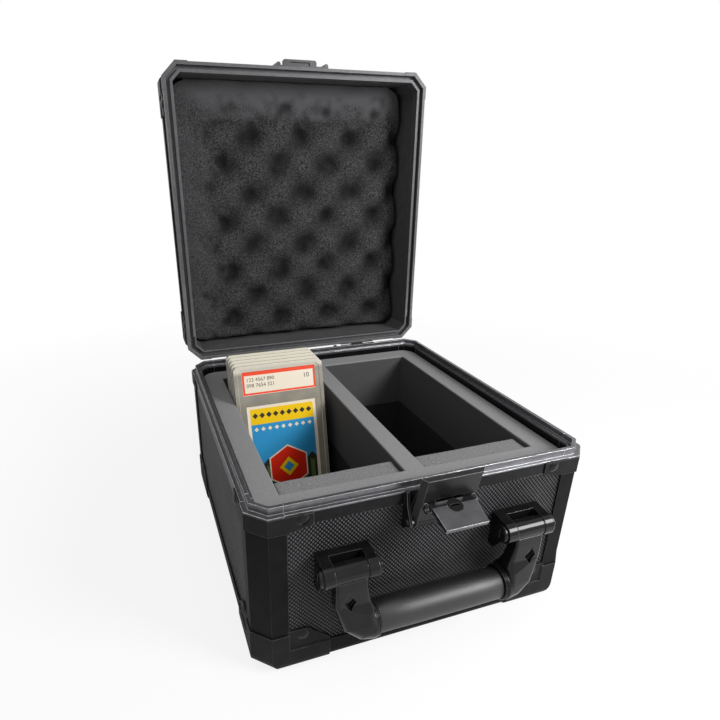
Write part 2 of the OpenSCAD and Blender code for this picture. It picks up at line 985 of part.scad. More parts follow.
// Side view of the flap from its pivot: y is towards the case, z is up
module flap_side() {
    bevel_t = 2;
    bevel_low = 2.3;
    polygon([[flap_t - flap_face, flap_over], [bevel_t - flap_face, flap_over],
        [-flap_face, -bevel_low], [-flap_face, -flap_len], [flap_t - flap_face, -flap_len]]);
}

module lock_flap() {
    chamfer = 1.5;
    lug_r = 2.4;
    color(steel)
        on_flap()
            difference() {
                union() {
                    intersection() {
                        along_x(-flap_w / 2, flap_w, 0, 0)
                            flap_side();
                        rotate([90, 0, 0])
                            linear_extrude(2 * flap_face)
                                polygon([[-flap_tip_w / 2, -flap_len], [flap_tip_w / 2, -flap_len],
                                    [flap_w / 2, flap_over - chamfer],
                                    [flap_w / 2 - chamfer, flap_over],
                                    [chamfer - flap_w / 2, flap_over],
                                    [-flap_w / 2, flap_over - chamfer]]);
                    }
                    both_sides()
                        along_x(flap_w / 2 - flap_pin_in, flap_pin_in - fit, 0, 0)
                            union() {
                                circle(lug_r);
                                translate([-lug_r, -lug_r])
                                    square([lug_r, 2 * lug_r]);
                            }
                }
                rotate([0, 90, 0])
                    cylinder(r = flap_pin_r + run_fit, h = 2 * flap_w, center = true);
                translate([0, past, -key_down])
                    rotate([90, 0, 0])
                        cylinder(r = key_r + run_fit, h = 2 * flap_face);
            }
}

module lock_cylinder() {
    slot_l = 6;
    slot_t = 1.6;
    slot_depth = 5;
    color(gloss)
        on_flap()
            difference() {
                translate([0, key_len - flap_face, -key_down])
                    rotate([90, 0, 0])
                        cylinder(r = key_r, h = key_len);
                translate([-slot_l / 2, -flap_face - past, -key_down - slot_t / 2])
                    cube([slot_l, slot_depth + past, slot_t]);
            }
}

// Cam under the cylinder, pointing sideways while the flap is free
module lock_cam() {
    cam_t = 1.2;
    cam_back = 3;
    color(steel)
        on_flap()
            translate([-cam_len, key_len - flap_face, -key_down - cam_w / 2])
                cube([cam_len + cam_back, cam_t, cam_w]);
}

// Bracket with two ears round one arm
module bracket(side) {
    w = bracket_gap + 2 * ear_t;
    color(gloss)
        difference() {
            along_x(side * bracket_x - w / 2, w, pivot_y, pivot_z)
                union() {
                    circle(ear_r);
                    polygon([[pivot_out + panel_s, ear_r + 1], [pivot_out - back_t, ear_r + 1],
                        [0, ear_r], [0, 0], [-ear_r, 0], [0, -ear_r],
                        [pivot_out - back_t, -bracket_down], [pivot_out + panel_s, -bracket_down]]);
                }
            translate([side * bracket_x - bracket_gap / 2, pivot_y - 2 * ear_r,
                    pivot_z - bracket_down - past])
                cube([bracket_gap, pivot_out - back_t + 2 * ear_r, 2 * (bracket_down + past)]);
            translate([side * bracket_x, pivot_y, pivot_z])
                rotate([0, 90, 0])
                    cylinder(r = grip_pin_r, h = 2 * w, center = true);
        }
}

module handle_bracket_left() {
    bracket(-1);
}

module handle_bracket_right() {
    bracket(1);
}

module handle_pins() {
    color(steel)
        both_sides()
            translate([bracket_x, pivot_y, pivot_z])
                rotate([0, 90, 0])
                    cylinder(r = grip_pin_r, h = bracket_gap + 2 * ear_t, center = true);
}

module handle_screws() {
    out = bracket_gap / 2 + ear_t;
    chamfer = 0.8;
    slot_l = 6;
    slot_t = 1;
    slot_low = screw_h / 2;
    color(steel)
        both_sides()
            for (s = [-1, 1])
                translate([bracket_x + s * out, pivot_y, pivot_z])
                    rotate([0, s * 90, 0])
                        difference() {
                            rotate_extrude()
                                polygon([[0, 0], [screw_d / 2, 0], [screw_d / 2, screw_h - chamfer],
                                    [screw_d / 2 - chamfer, screw_h], [0, screw_h]]);
                            translate([-slot_l / 2, -slot_t / 2, slot_low])
                                cube([slot_l, slot_t, screw_h]);
                        }
}

// One cross-section of an arm, a thin plate with round corners, turned by a about the pivot's axis
module station(x, y, z, half_w, half_t, r, a) {
    translate([x, y, z])
        rotate([0, a, 0])
            for (i = [r - half_w, half_w - r], j = [r - half_t, half_t - r])
                translate([i, j, -0.1])
                    cylinder(r = r, h = 0.2, $fn = 28);
}

// Blade of an arm: its thickness, the rounding of its edges and how far it stands in front
blade_t = 9.6;
blade_r = 2;
blade_out = 2.2;
// Depth of the bar's ends in the arms
bar_end = 8;
// Turn of the two cross-sections through which the elbow bends into the socket
elbow_high_a = 35;
elbow_low_a = 65;

// Right arm about its pivot: knuckle, flat blade and an elbow that swells into the grip's socket
module arm() {
    half = bracket_gap / 2 - side_gap;
    neck_z = -ear_r - blade_t / 4;
    waist_y = -blade_out * 0.75;
    waist_z = -grip_drop * 0.52;
    gy = grip_y - pivot_y;
    low_x = socket_r * cos(elbow_low_a) + side_gap - socket_in;
    high_x = socket_r * cos(elbow_high_a) + side_gap - socket_in;
    color(gloss)
        difference() {
            union() {
                rotate([0, 90, 0])
                    cylinder(r = arm_r, h = 2 * half, center = true);
                hull() {
                    station(0, -blade_out, -ear_r / 2, half, blade_t * 0.45, blade_r, 0);
                    station(0, -blade_out, neck_z, half, blade_t / 2, blade_r, 0);
                }
                hull() {
                    station(0, -blade_out, neck_z, half, blade_t / 2, blade_r, 0);
                    station(high_x / 4, waist_y, waist_z, half * 1.13, blade_t * 0.58, blade_r * 1.5, 0);
                }
                hull() {
                    station(high_x / 4, waist_y, waist_z, half * 1.13, blade_t * 0.58, blade_r * 1.5, 0);
                    station(high_x, gy - blade_out / 2, -grip_drop * 0.8, socket_r, socket_r * 0.7,
                        socket_r * 0.47, elbow_high_a);
                }
                hull() {
                    station(high_x, gy - blade_out / 2, -grip_drop * 0.8, socket_r, socket_r * 0.7,
                        socket_r * 0.47, elbow_high_a);
                    station(low_x, gy, -grip_drop * 0.95, socket_r, socket_r * 0.94,
                        socket_r * 0.78, elbow_low_a);
                }
                hull() {
                    station(low_x, gy, -grip_drop * 0.95, socket_r, socket_r * 0.94,
                        socket_r * 0.78, elbow_low_a);
                    station(socket_r / 12 - socket_in, gy, -grip_drop, socket_r, socket_r,
                        socket_r * 0.99, 90);
                }
                translate([-socket_in, gy, -grip_drop])
                    rotate([0, 90, 0])
                        cylinder(r = socket_r, h = socket_r / 10);
            }
            rotate([0, 90, 0])
                cylinder(r = grip_pin_r + run_fit, h = 4 * half, center = true);
            translate([-socket_in - past, gy, -grip_drop])
                rotate([0, 90, 0])
                    cylinder(r = bar_r + run_fit, h = bar_end + 2 * fit + past);
            arm_recess();
        }
}

// Diamond-shaped hollow pressed into the front of an arm's blade
module arm_recess() {
    recess_w = 4.4;
    recess_h = 6.5;
    recess_y = 5;
    recess_z = 18.5;
    recess_t = 6;
    translate([recess_w * 0.4, -recess_y, -recess_z])
        rotate([90, 0, 0])
            linear_extrude(recess_t)
                polygon([[-recess_w, -recess_h / 8], [-recess_w / 11, -recess_h],
                    [recess_w, -recess_h / 6.5], [recess_w / 7, recess_h]]);
}

module handle_arm_right() {
    translate([bracket_x, pivot_y, pivot_z])
        arm();
}

module handle_arm_left() {
    mirror([1, 0, 0])
        translate([bracket_x, pivot_y, pivot_z])
            arm();
}

// Carries a profile drawn as radius and length to the grip's axis
module about_grip() {
    translate([0, grip_y, pivot_z - grip_drop])
        rotate([0, 90, 0])
            rotate_extrude()
                children();
}

module handle_grip() {
    half = grip_len / 2;
    color(black)
        about_grip()
            polygon([[bar_r + run_fit, -half], [grip_r - 0.8, -half], [grip_r - 0.2, 0.8 - half],
                [grip_r, -half / 2], [grip_r, half / 2], [grip_r - 0.2, half - 0.8],
                [grip_r - 0.8, half], [bar_r + run_fit, half]]);
}

module handle_core_bar() {
    half = grip_len / 2 + collar_w + 2 * fit + bar_end;
    color(steel)
        about_grip()
            translate([0, -half])
                square([bar_r, 2 * half]);
}

// Rings with two ridges between the grip and the arms
module handle_collars() {
    from_x = grip_len / 2 + fit;
    ridge = collar_w / 4;
    color(gloss)
        both_sides()
            about_grip()
                translate([0, from_x])
                    polygon([[bar_r + run_fit, 0], [grip_r + 0.3, 0], [grip_r + 1.2, ridge * 0.6],
                        [grip_r + 1.2, ridge * 1.4], [grip_r + 0.4, ridge * 2],
                        [grip_r + 1.4, ridge * 2.6], [grip_r + 1.4, ridge * 3.4],
                        [grip_r + 0.8, ridge * 4], [bar_r + run_fit, ridge * 4]]);
}

module lid_top_panel() {
    open_lid()
        in_lid()
            flat_panel();
}

// Height of the lid's side panels, counted down from its top
lid_panel_end = lid_top - lid_web_top - fit;

module lid_front_wall() {
    open_lid()
        in_lid()
            wide_panel(-1, lid_panel_end);
}

module lid_back_wall() {
    open_lid()
        in_lid()
            wide_panel(1, lid_panel_end);
}

module lid_left_wall() {
    open_lid()
        in_lid()
            deep_panel(-1, lid_panel_end);
}

module lid_right_wall() {
    open_lid()
        in_lid()
            deep_panel(1, lid_panel_end);
}

module lid_corner_posts() {
    open_lid()
        in_lid()
            posts(lid_top - lid_skirt_top - fit, lid_panel_end);
}

module lid_edges() {
    open_lid()
        in_lid()
            edge_bars();
}

// Depth from the back over which the lid's groove is widened, so that the tongue swings clear
relief_d = 24;

// Lid rim section: skirts on both faces of the wall and a groove for the body's tongue
module lid_rim_rings() {
    groove_in = tongue_in - rim_gap;
    groove_out = tongue_in + tongue_w + rim_gap;
    lip = body_h + lip_h + rim_gap;
    ring(0, groove_in, lid_flat, lid_web_top);
    ring(0, rim_w, groove_top, lid_web_top);
    difference() {
        ring(groove_out, rim_w, lip, lid_web_top);
        intersection() {
            ring(groove_in, rim_w - skin_t, body_h, groove_top);
            translate([-case_w / 2, back_y - relief_d, body_h])
                cube([case_w, relief_d, lid_h]);
        }
    }
    ring(0, skin_t, lid_flat, lid_skirt_top);
    ring(rim_w - skin_t, rim_w, lip, lid_skirt_top);
}

module lid_rim() {
    color(charcoal)
        open_lid()
            without_corners(rim_corner_w + fit, lid_top)
                lid_rim_rings();
}

module lid_rim_corners() {
    color(charcoal)
        open_lid()
            only_corners(rim_corner_w, lid_top)
                union() {
                    lid_rim_rings();
                    ring(-rim_corner_t, 0, lid_flat, lid_flat + skirt_h / 2);
                }
}

module lid_caps() {
    open_lid()
        in_lid()
            caps(lid_cap_reach, lid_wing_h, [5, 6.5]);
}

module lid_rivets() {
    open_lid() {
        in_lid()
            corner_rivets(lid_rivet_in, lid_wing_h - lid_rivet_down, wing_proud);
        leaf_rivets(body_h + leaf_h - leaf_rivet_in);
        color(gloss)
            both_sides()
                translate([(catch_w + shelf_w) / 4 - catch_roll_r, front_y - sheet_t, catch_mid])
                    rotate([90, 0, 0])
                        rivet(catch_rivet_d, catch_rivet_h);
    }
}

module lid_liner() {
    color(black)
        open_lid()
            ring(panel_in + fit, panel_in + fit + liner_t, lid_skirt_top + fit, lid_top - ledge_top - fit);
}

// Egg-crate surface as a grid of heights that follows two crossed waves
crate_w = case_w / 2 - crate_in;
crate_d = case_d / 2 - crate_in;
crate_nx = 28;
crate_ny = 32;
crate_r = 12;
function crate_half(y) = crate_w
    - crate_r * (1 - sqrt(1 - pow(min(max(abs(y) - crate_d + crate_r, 0) / crate_r, 1), 2)));
function crate_height(x, y) = crate_t - crate_dip / 2
    - crate_dip / 2 * cos(360 * (x - crate_from_x) / crate_pitch_x)
        * cos(360 * (y + crate_from_y) / crate_pitch_y);
function crate_y(j) = crate_d * (2 * j / crate_ny - 1);
function crate_x(i, j) = crate_half(crate_y(j)) * (2 * i / crate_nx - 1);
function crate_id(i, j) = j * (crate_nx + 1) + i;

module eggcrate_foam() {
    surface = [for (j = [0 : crate_ny], i = [0 : crate_nx])
        [crate_x(i, j), crate_y(j), crate_height(crate_x(i, j), crate_y(j))]];
    edge = concat(
        [for (i = [0 : crate_nx - 1]) [i, 0]],
        [for (j = [0 : crate_ny - 1]) [crate_nx, j]],
        [for (i = [crate_nx : -1 : 1]) [i, crate_ny]],
        [for (j = [crate_ny : -1 : 1]) [0, j]]);
    n = len(edge);
    base = len(surface);
    foot = [for (e = edge) [crate_x(e[0], e[1]), crate_y(e[1]), 0]];
    middle = base + n;
    faces = concat(
        [for (j = [0 : crate_ny - 1], i = [0 : crate_nx - 1])
            [crate_id(i, j), crate_id(i + 1, j + 1), crate_id(i + 1, j)]],
        [for (j = [0 : crate_ny - 1], i = [0 : crate_nx - 1])
            [crate_id(i, j), crate_id(i, j + 1), crate_id(i + 1, j + 1)]],
        [for (k = [0 : n - 1])
            [crate_id(edge[k][0], edge[k][1]), crate_id(edge[(k + 1) % n][0], edge[(k + 1) % n][1]),
                base + k]],
        [for (k = [0 : n - 1])
            [crate_id(edge[(k + 1) % n][0], edge[(k + 1) % n][1]), base + (k + 1) % n, base + k]],
        [for (k = [0 : n - 1]) [base + k, base + (k + 1) % n, middle]]);
    color(charcoal)
        open_lid()
            in_lid()
                translate([0, 0, floor_z + panel_t + soft_gap])
                    polyhedron(concat(surface, foot, [[0, 0, 0]]), faces, convexity = 6);
}

// The rivets beside the catch's shelf, halfway between it and the catch's upper edge
catch_rivet_d = 3.2;
catch_rivet_h = 0.8;
catch_mid = body_h + (shelf_up + shelf_t + catch_high) / 2;

// Catch on the lid: a plate with a grooved shelf that the hook's lip drops over
module lid_catch() {
    plate_low = body_h + catch_low;
    plate_high = body_h + catch_high;
    shelf_c = 1.5;
    slot_d = 3.1;
    color(black)
        open_lid()
            difference() {
                union() {
                    translate([-catch_w / 2, front_y - sheet_t, plate_low])
                        cube([catch_w, sheet_t, plate_high - plate_low]);
                    translate([-catch_w / 2, front_y - sheet_t, lid_skirt_top + fit])
                        cube([catch_w, sheet_t + panel_s, plate_high - lid_skirt_top - fit]);
                    both_sides()
                        translate([catch_w / 2 - catch_roll_r, front_y - catch_roll_r, plate_low])
                            cylinder(r = catch_roll_r, h = plate_high - plate_low);
                    translate([0, front_y, body_h + shelf_up])
                        linear_extrude(shelf_t)
                            polygon([[-shelf_w / 2, 0], [-shelf_w / 2, shelf_c - shelf_d],
                                [shelf_c - shelf_w / 2, -shelf_d], [shelf_w / 2 - shelf_c, -shelf_d],
                                [shelf_w / 2, shelf_c - shelf_d], [shelf_w / 2, 0]]);
                }
                translate([-slot_w / 2, front_y - sheet_t - slot_d - past, body_h + shelf_up - past])
                    cube([slot_w, slot_d, slot_deep + past]);
            }
}

module hinge_lid_leaves() {
    color(black)
        open_lid()
            both_sides() {
                leaf_plate(hinge_x, hinge_w, hinge_z + knuckle_r, lid_skirt_top + fit, body_h + leaf_h);
                along_x(hinge_x + knuckle_w + side_gap, knuckle_w - 2 * side_gap, hinge_y, hinge_z)
                    arm_outline(1);
            }
}

// Carries what is drawn on an upright slab, its foot's front edge at the origin, to its place
module slab_place(n) {
    step = slab_pitch / cos(slab_lean);
    foot = pad_top + soft_gap + slab_t * sin(slab_lean);
    mid = slab_side + slab_w / 2 - divider_w / 2 - bay_w;
    translate([mid, bay_back - slab_back + n * step, foot])
        rotate([-slab_lean, 0, 0])
            children();
}

// Outline of a slab with chamfered corners
module slab_outline(s) {
    x = slab_w / 2 - s;
    c = slab_c;
    polygon([[c - x, s], [x - c, s], [x, s + c], [x, slab_h - s - c],
        [x - c, slab_h - s], [c - x, slab_h - s], [-x, slab_h - s - c], [-x, s + c]]);
}

// Stands an outline drawn as x and height on the face y = y0, going back by t
module upright(y0, t) {
    translate([0, y0 + t, 0])
        rotate([90, 0, 0])
            linear_extrude(t)
                children();
}

// Window of the label or of the card, drawn as x and height
module slab_window(w, h, top, grow) {
    translate([-w / 2 - grow, slab_h - top - h - grow])
        square([w + 2 * grow, h + 2 * grow]);
}

pocket_t = slab_dish + 2 * card_t;

module slab_shell(n) {
    color("#d8d0be", 0.8)
        slab_place(n)
            difference() {
                upright(0, slab_t)
                    slab_outline(0);
                upright(-past, slab_dish + past)
                    slab_outline(slab_rim);
                upright(slab_t - slab_dish, slab_dish + past)
                    slab_outline(slab_rim);
                upright(-past, pocket_t + past)
                    slab_window(label_w, label_h, label_top, fit);
                upright(-past, pocket_t + past)
                    slab_window(card_w, card_h, card_top, fit);
            }
}

module slab_label(n) {
    color("#f04a22")
        slab_place(n)
            upright(pocket_t - card_t - fit, card_t)
                slab_window(label_w, label_h, label_top, 0);
}

module slab_card(n) {
    color("#f7c900")
        slab_place(n)
            upright(pocket_t - card_t - fit, card_t)
                slab_window(card_w, card_h, card_top, 0);
}

// A whole graded card behind the front one
module graded_card(n) {
    slab_shell(n);
    slab_label(n);
    slab_card(n);
}

module front_slab_shell() {
    slab_shell(0);
}

module front_slab_label() {
    slab_label(0);
}

module front_slab_card() {
    slab_card(0);
}

floor_panel();
front_panel();
back_panel();
left_panel();
right_panel();
corner_posts();
base_edges();
body_rim();
body_rim_corners();
top_caps();
base_caps();
case_rivets();
foam_insert();
floor_pad();
hinge_body_leaves();
hinge_pins();
hinge_body_rivets();
latch_base();
latch_pin();
latch_rivets();
handle_bracket_left();
handle_bracket_right();
handle_pins();
handle_screws();
lid_top_panel();
lid_front_wall();
lid_back_wall();
lid_left_wall();
lid_right_wall();
lid_corner_posts();
lid_edges();
lid_rim();
lid_rim_corners();
lid_caps();
lid_rivets();
lid_liner();
eggcrate_foam();
lid_catch();
hinge_lid_leaves();
hook_plate();
flap_pins();
lock_flap();
lock_cylinder();
lock_cam();
handle_arm_left();
handle_arm_right();
handle_grip();
handle_core_bar();
handle_collars();
left_spacer();
right_spacer();
front_slab_shell();
front_slab_label();
front_slab_card();
graded_card(1);  // slab_2
graded_card(2);  // slab_3
graded_card(3);  // slab_4
graded_card(4);  // slab_5
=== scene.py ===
import bpy
import bmesh
import math
from mathutils import Matrix, Vector, noise


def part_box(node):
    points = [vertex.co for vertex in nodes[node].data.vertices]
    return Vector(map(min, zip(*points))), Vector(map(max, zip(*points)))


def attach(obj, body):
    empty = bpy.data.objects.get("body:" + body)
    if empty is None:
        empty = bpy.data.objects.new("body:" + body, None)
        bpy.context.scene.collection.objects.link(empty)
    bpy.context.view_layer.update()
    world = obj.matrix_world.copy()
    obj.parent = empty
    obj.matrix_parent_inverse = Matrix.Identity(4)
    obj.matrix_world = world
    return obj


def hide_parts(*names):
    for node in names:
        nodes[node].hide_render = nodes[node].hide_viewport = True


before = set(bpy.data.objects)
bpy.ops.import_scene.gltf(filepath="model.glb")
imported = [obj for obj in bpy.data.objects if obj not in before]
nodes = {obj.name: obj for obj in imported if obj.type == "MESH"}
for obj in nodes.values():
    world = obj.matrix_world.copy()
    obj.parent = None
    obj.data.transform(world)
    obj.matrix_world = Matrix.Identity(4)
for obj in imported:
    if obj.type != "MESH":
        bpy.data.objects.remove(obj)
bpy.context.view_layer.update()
mm = 0.001
print("frame loaded,", len(nodes), "nodes")


def hexColour(text):  # sRGB hex to the linear values that shaders use
    parts = [int(text[i:i + 2], 16) / 255 for i in (1, 3, 5)]
    linear = [c / 12.92 if c <= 0.04045 else ((c + 0.055) / 1.055) ** 2.4 for c in parts]
    return (*linear, 1.0)


# Adds one shader node. An input that is a node or a socket is linked and any other is set;
# stops are the places and colours of a colour ramp.
def addNode(tree, kind, settings=None, inputs=None, stops=()):
    node = tree.nodes.new("ShaderNode" + kind)
    for name, value in (settings or {}).items():
        setattr(node, name, value)
    for socket, value in (inputs or {}).items():
        if isinstance(value, bpy.types.Node):
            value = next(output for output in value.outputs if output.enabled)
        if isinstance(value, bpy.types.NodeSocket):
            tree.links.new(value, node.inputs[socket])
        else:
            isColour = isinstance(value, str)
            node.inputs[socket].default_value = hexColour(value) if isColour else value
    for index, (stop, colour) in enumerate(stops):
        node.color_ramp.elements[index].position = stop
        node.color_ramp.elements[index].color = hexColour(colour)
    return node


def startMaterial(name):  # an empty material and the piece's own coordinates
    material = bpy.data.materials.new(name)
    material.use_nodes = True
    tree = material.node_tree
    tree.nodes.clear()
    return material, tree, addNode(tree, "TexCoord").outputs["Object"]


def finishMaterial(material, shader):  # the surface that everything before it leads to
    tree = material.node_tree
    surface = addNode(tree, "BsdfPrincipled", inputs=shader)
    addNode(tree, "OutputMaterial", inputs={"Surface": surface})
    return material


def lumps(place, size, detail=4.0):  # inputs of a noise whose lumps are about size across
    return {"Scale": 1 / size, "Detail": detail, "Vector": place}


def between(value, limits):  # inputs of a range: 0 at the first limit, 1 at the second
    return {"Value": value, "From Min": limits[0], "From Max": limits[1]}


softStops = (0.3, 0.7)
inColour = {"data_type": "RGBA"}  # sockets 6 and 7 of a Mix node are then its two colours
edgeForm = {"samples": 6, "cosines": (0.98, 0.8)}  # the bright edges, painted highlight and on metal also wear, start and are full at these


def mottled(tree, place, size, tones):  # two tones in soft patches
    patches = addNode(tree, "TexNoise", inputs=lumps(place, size))
    return addNode(tree, "ValToRGB", inputs={"Fac": patches}, stops=zip(softStops, tones))


def roundedEdges(tree, radius):  # normals that round the edges, and a mask: 1 on edges
    rounded = addNode(tree, "Bevel", {"samples": edgeForm["samples"]}, {"Radius": radius})
    flat = addNode(tree, "NewGeometry").outputs["True Normal"]
    cosine = addNode(tree, "VectorMath", {"operation": "DOT_PRODUCT"}, {0: rounded, 1: flat})
    return rounded, addNode(tree, "MapRange", inputs=between(cosine, edgeForm["cosines"]))


def edgeWearAndGlint(tree, place, onEdge, size, tone, bareAndGlint, paleStrength=1.0):  # bright colour on edges, in patches: painted highlight, and on metal also wear
    patches = addNode(tree, "TexNoise", inputs=lumps(place, size))
    share = addNode(tree, "Math", {"operation": "MULTIPLY"}, {0: onEdge, 1: patches})
    share = addNode(tree, "Math", {"operation": "MULTIPLY"}, {0: share, 1: paleStrength})
    return addNode(tree, "Mix", inColour, {"Factor": share, 6: tone, 7: bareAndGlint})


def gritty(tree, place, size, depth, strength, rounded):  # fine grit over rounded edges
    grit = addNode(tree, "TexNoise", inputs=lumps(place, size))
    return addNode(tree, "Bump", inputs={"Distance": depth, "Strength": strength,
                                         "Height": grit, "Normal": rounded})


# Coated metal and plastic: a base tone with faint mottling, soft bright edges, fine grit; the
# bright edges are painted highlight, and on metal partly wear
coat = {"mottle": 9 * mm, "edgePatch": 4 * mm, "relief": 0.6}


def coated(name, look):
    material, tree, place = startMaterial(name)
    rounded, onEdge = roundedEdges(tree, look["edge"])
    tone = mottled(tree, place, coat["mottle"], look["tones"])
    return finishMaterial(material, {
        "Roughness": look["rough"], "Metallic": look.get("metal", 0.0),
        "Specular IOR Level": look.get("shine", 0.5),
        "Base Color": edgeWearAndGlint(tree, place, onEdge, coat["edgePatch"], tone, look["bright"]),
        "Normal": gritty(tree, place, look["grit"], look["depth"], coat["relief"], rounded)})


print("materials")
# Anodised aluminium extrusion: satin, near black, edges catch the light
blackAnodised = coated("blackAnodisedAluminium", {
    "tones": ("#121213", "#181819"), "bright": "#8a8a8b", "rough": 0.42, "shine": 0.05,
    "edge": 0.45 * mm, "grit": 0.5 * mm, "depth": 0.02 * mm})
# Powder-coated steel caps: slightly rougher than the extrusions
powderCoated = coated("powderCoatedSteel", {
    "tones": ("#19191a", "#202021"), "bright": "#9a9a9b", "rough": 0.44, "shine": 0.07,
    "edge": 0.45 * mm, "grit": 0.4 * mm, "depth": 0.03 * mm})
# Pressed steel latch and hinges: smooth satin black paint
satinSteel = coated("satinBlackSteel", {
    "tones": ("#0f0f10", "#141415"), "bright": "#c4c4c5", "rough": 0.34, "shine": 0.26,
    "edge": 0.7 * mm, "grit": 0.6 * mm, "depth": 0.015 * mm})
# The lid's catch: the same paint, in a paler tone
paleCatchSteel = coated("paleSatinSteel", {
    "tones": ("#2a2a2b", "#333334"), "bright": "#a4a4a5", "rough": 0.36, "metal": 0.4,
    "edge": 0.4 * mm, "grit": 0.6 * mm, "depth": 0.015 * mm})
# Moulded ABS, polished: mirror-like black with sharp highlights; its pale edges are painted
# highlight
glossPlastic = coated("polishedBlackPlastic", {
    "tones": ("#0e0e0f", "#141415"), "bright": "#5a5a5b", "rough": 0.13, "shine": 0.24,
    "edge": 0.8 * mm, "grit": 7 * mm, "depth": 0.03 * mm})
# Dome rivets in the same black
rivetSteel = coated("blackRivetSteel", {
    "tones": ("#111112", "#161617"), "bright": "#5e5e5f", "rough": 0.22, "shine": 0.2,
    "edge": 0.2 * mm, "grit": 0.5 * mm, "depth": 0.01 * mm})
# Plain steel pins
pinSteel = coated("plainSteelPin", {
    "tones": ("#a9aaac", "#bcbdbf"), "bright": "#f0f0f0", "rough": 0.28, "metal": 1.0,
    "edge": 0.2 * mm, "grit": 0.4 * mm, "depth": 0.01 * mm})
# Gunmetal plate of the latch flap: satin with a soft sheen; its bright rim is painted highlight
gunmetal = coated("satinGunmetalPlate", {
    "tones": ("#505052", "#5e5e60"), "bright": "#f2f2f2", "rough": 0.28, "metal": 0.9,
    "edge": 0.45 * mm, "grit": 0.5 * mm, "depth": 0.015 * mm})
# Black key cylinder; the pale ring round its edge is painted highlight
keyBlack = coated("blackKeyCylinder", {
    "tones": ("#080808", "#0c0c0c"), "bright": "#9c9c9c", "rough": 0.3, "shine": 0.15,
    "edge": 0.3 * mm, "grit": 0.5 * mm, "depth": 0.01 * mm})
# Liner board: smooth, matt and black, painted charcoal all over as painted light; its pale edges
# are painted highlight
linerBoard = coated("blackLinerBoard", {
    "tones": ("#464647", "#505051"), "bright": "#6a6a6b", "rough": 0.6, "shine": 0.25,
    "edge": 0.3 * mm, "grit": 0.8 * mm, "depth": 0.03 * mm})


def above(tree, place, axis, low, high):  # 0 below a level, 1 above it
    level = addNode(tree, "SeparateXYZ", inputs={"Vector": place}).outputs[axis]
    return addNode(tree, "MapRange", inputs=between(level, (low, high)))


# Rim aluminium: anodised dark; the part above a level takes one tone and the part below another;
# the ridges have bright edges, painted highlight and partly bare metal
rimFinish = {"edge": 0.35 * mm, "mottle": 5 * mm, "edgePatch": 3 * mm, "grit": 0.5 * mm,
             "depth": 0.01 * mm, "relief": 0.5, "shine": 0.3}


def rimAluminium(name, look, split):
    material, tree, place = startMaterial(name)
    rounded, onEdge = roundedEdges(tree, rimFinish["edge"])
    flat = mottled(tree, place, rimFinish["mottle"], look["flat"])
    skirt = mottled(tree, place, rimFinish["mottle"], look["skirt"])
    onFlat = above(tree, place, *split)
    tone = addNode(tree, "Mix", inColour, {"Factor": onFlat, 6: skirt, 7: flat})
    tone = edgeWearAndGlint(tree, place, onEdge, rimFinish["edgePatch"], tone, look["bright"], look["paleStrength"])
    normal = gritty(tree, place, rimFinish["grit"], rimFinish["depth"], rimFinish["relief"],
                    rounded)
    return finishMaterial(material, {
        "Roughness": look["rough"], "Metallic": look["metal"],
        "Specular IOR Level": rimFinish["shine"], "Base Color": tone, "Normal": normal})


# Body rim: its top flat is painted pale grey, a painted reflection of the light from above, over a
# dark skirt
bodyRim = rimAluminium("drawnRimAluminium", {
    "flat": ("#616164", "#707073"), "skirt": ("#18181a", "#1f1f20"), "bright": "#f4f4f4",
    "rough": 0.3, "metal": 0.8, "paleStrength": 1.8}, ("Z", 127.7 * mm, 127.9 * mm))
lidRim = rimAluminium("anodisedLidRim", {
    "flat": ("#4c4c4e", "#58585a"), "skirt": ("#5f5f60", "#6d6d6e"), "bright": "#9a9a9b",
    "rough": 0.46, "metal": 0.2, "paleStrength": 0.8}, ("Y", 139.5 * mm, 140.5 * mm))


# Laminate embossed with small diamonds, one tip up; the pattern lies across the panel's face.
# The diamond tops are painted paler as painted highlight and the grooves near black as painted
# shade, with the tops paler in wide random patches
panel = {"pitch": 2.03 * mm, "tall": 1.17, "depth": 0.5 * mm, "patch": 40 * mm,
         "patchDetail": 2.0, "patchLift": 0.5, "rough": 0.36, "shine": 0.08,
         "tones": ((0.22, "#020202"), (0.6, "#555557"))}


def diamondLaminate(name, axes, turn=0.0):
    material, tree, place = startMaterial(name)
    flat = addNode(tree, "Mapping", inputs={"Rotation": (turn, 0, 0), "Vector": place})
    split = addNode(tree, "SeparateXYZ", inputs={"Vector": flat})
    across = split.outputs[axes[0]]
    up = addNode(tree, "Math", {"operation": "DIVIDE"},
                 {0: split.outputs[axes[1]], 1: panel["tall"]})  # taller than wide
    half = panel["pitch"] * math.sqrt(2) / 2
    slopes = []
    for way in ("ADD", "SUBTRACT"):  # one set of ridges rises to the right, the other falls
        slant = addNode(tree, "Math", {"operation": way}, {0: across, 1: up})
        slopes.append(addNode(tree, "Math", {"operation": "PINGPONG"}, {0: slant, 1: half}))
    lower = addNode(tree, "Math", {"operation": "MINIMUM"}, {0: slopes[0], 1: slopes[1]})
    height = addNode(tree, "Math", {"operation": "DIVIDE"}, {0: lower, 1: half})
    patches = addNode(tree, "TexNoise",
                      inputs=lumps(place, panel["patch"], panel["patchDetail"]))
    paleStrength = addNode(tree, "Math", {"operation": "ADD"}, {0: patches, 1: panel["patchLift"]})
    reliefLightAndShade = addNode(tree, "Math", {"operation": "MULTIPLY"}, {0: height, 1: paleStrength})
    # painted highlight on the diamond tops and painted shade in the grooves
    tone = addNode(tree, "ValToRGB", inputs={"Fac": reliefLightAndShade}, stops=panel["tones"])
    normal = addNode(tree, "Bump", inputs={"Distance": panel["depth"], "Strength": 1.0,
                                           "Height": height})
    return finishMaterial(material, {
        "Roughness": panel["rough"], "Specular IOR Level": panel["shine"],
        "Base Color": tone, "Normal": normal})


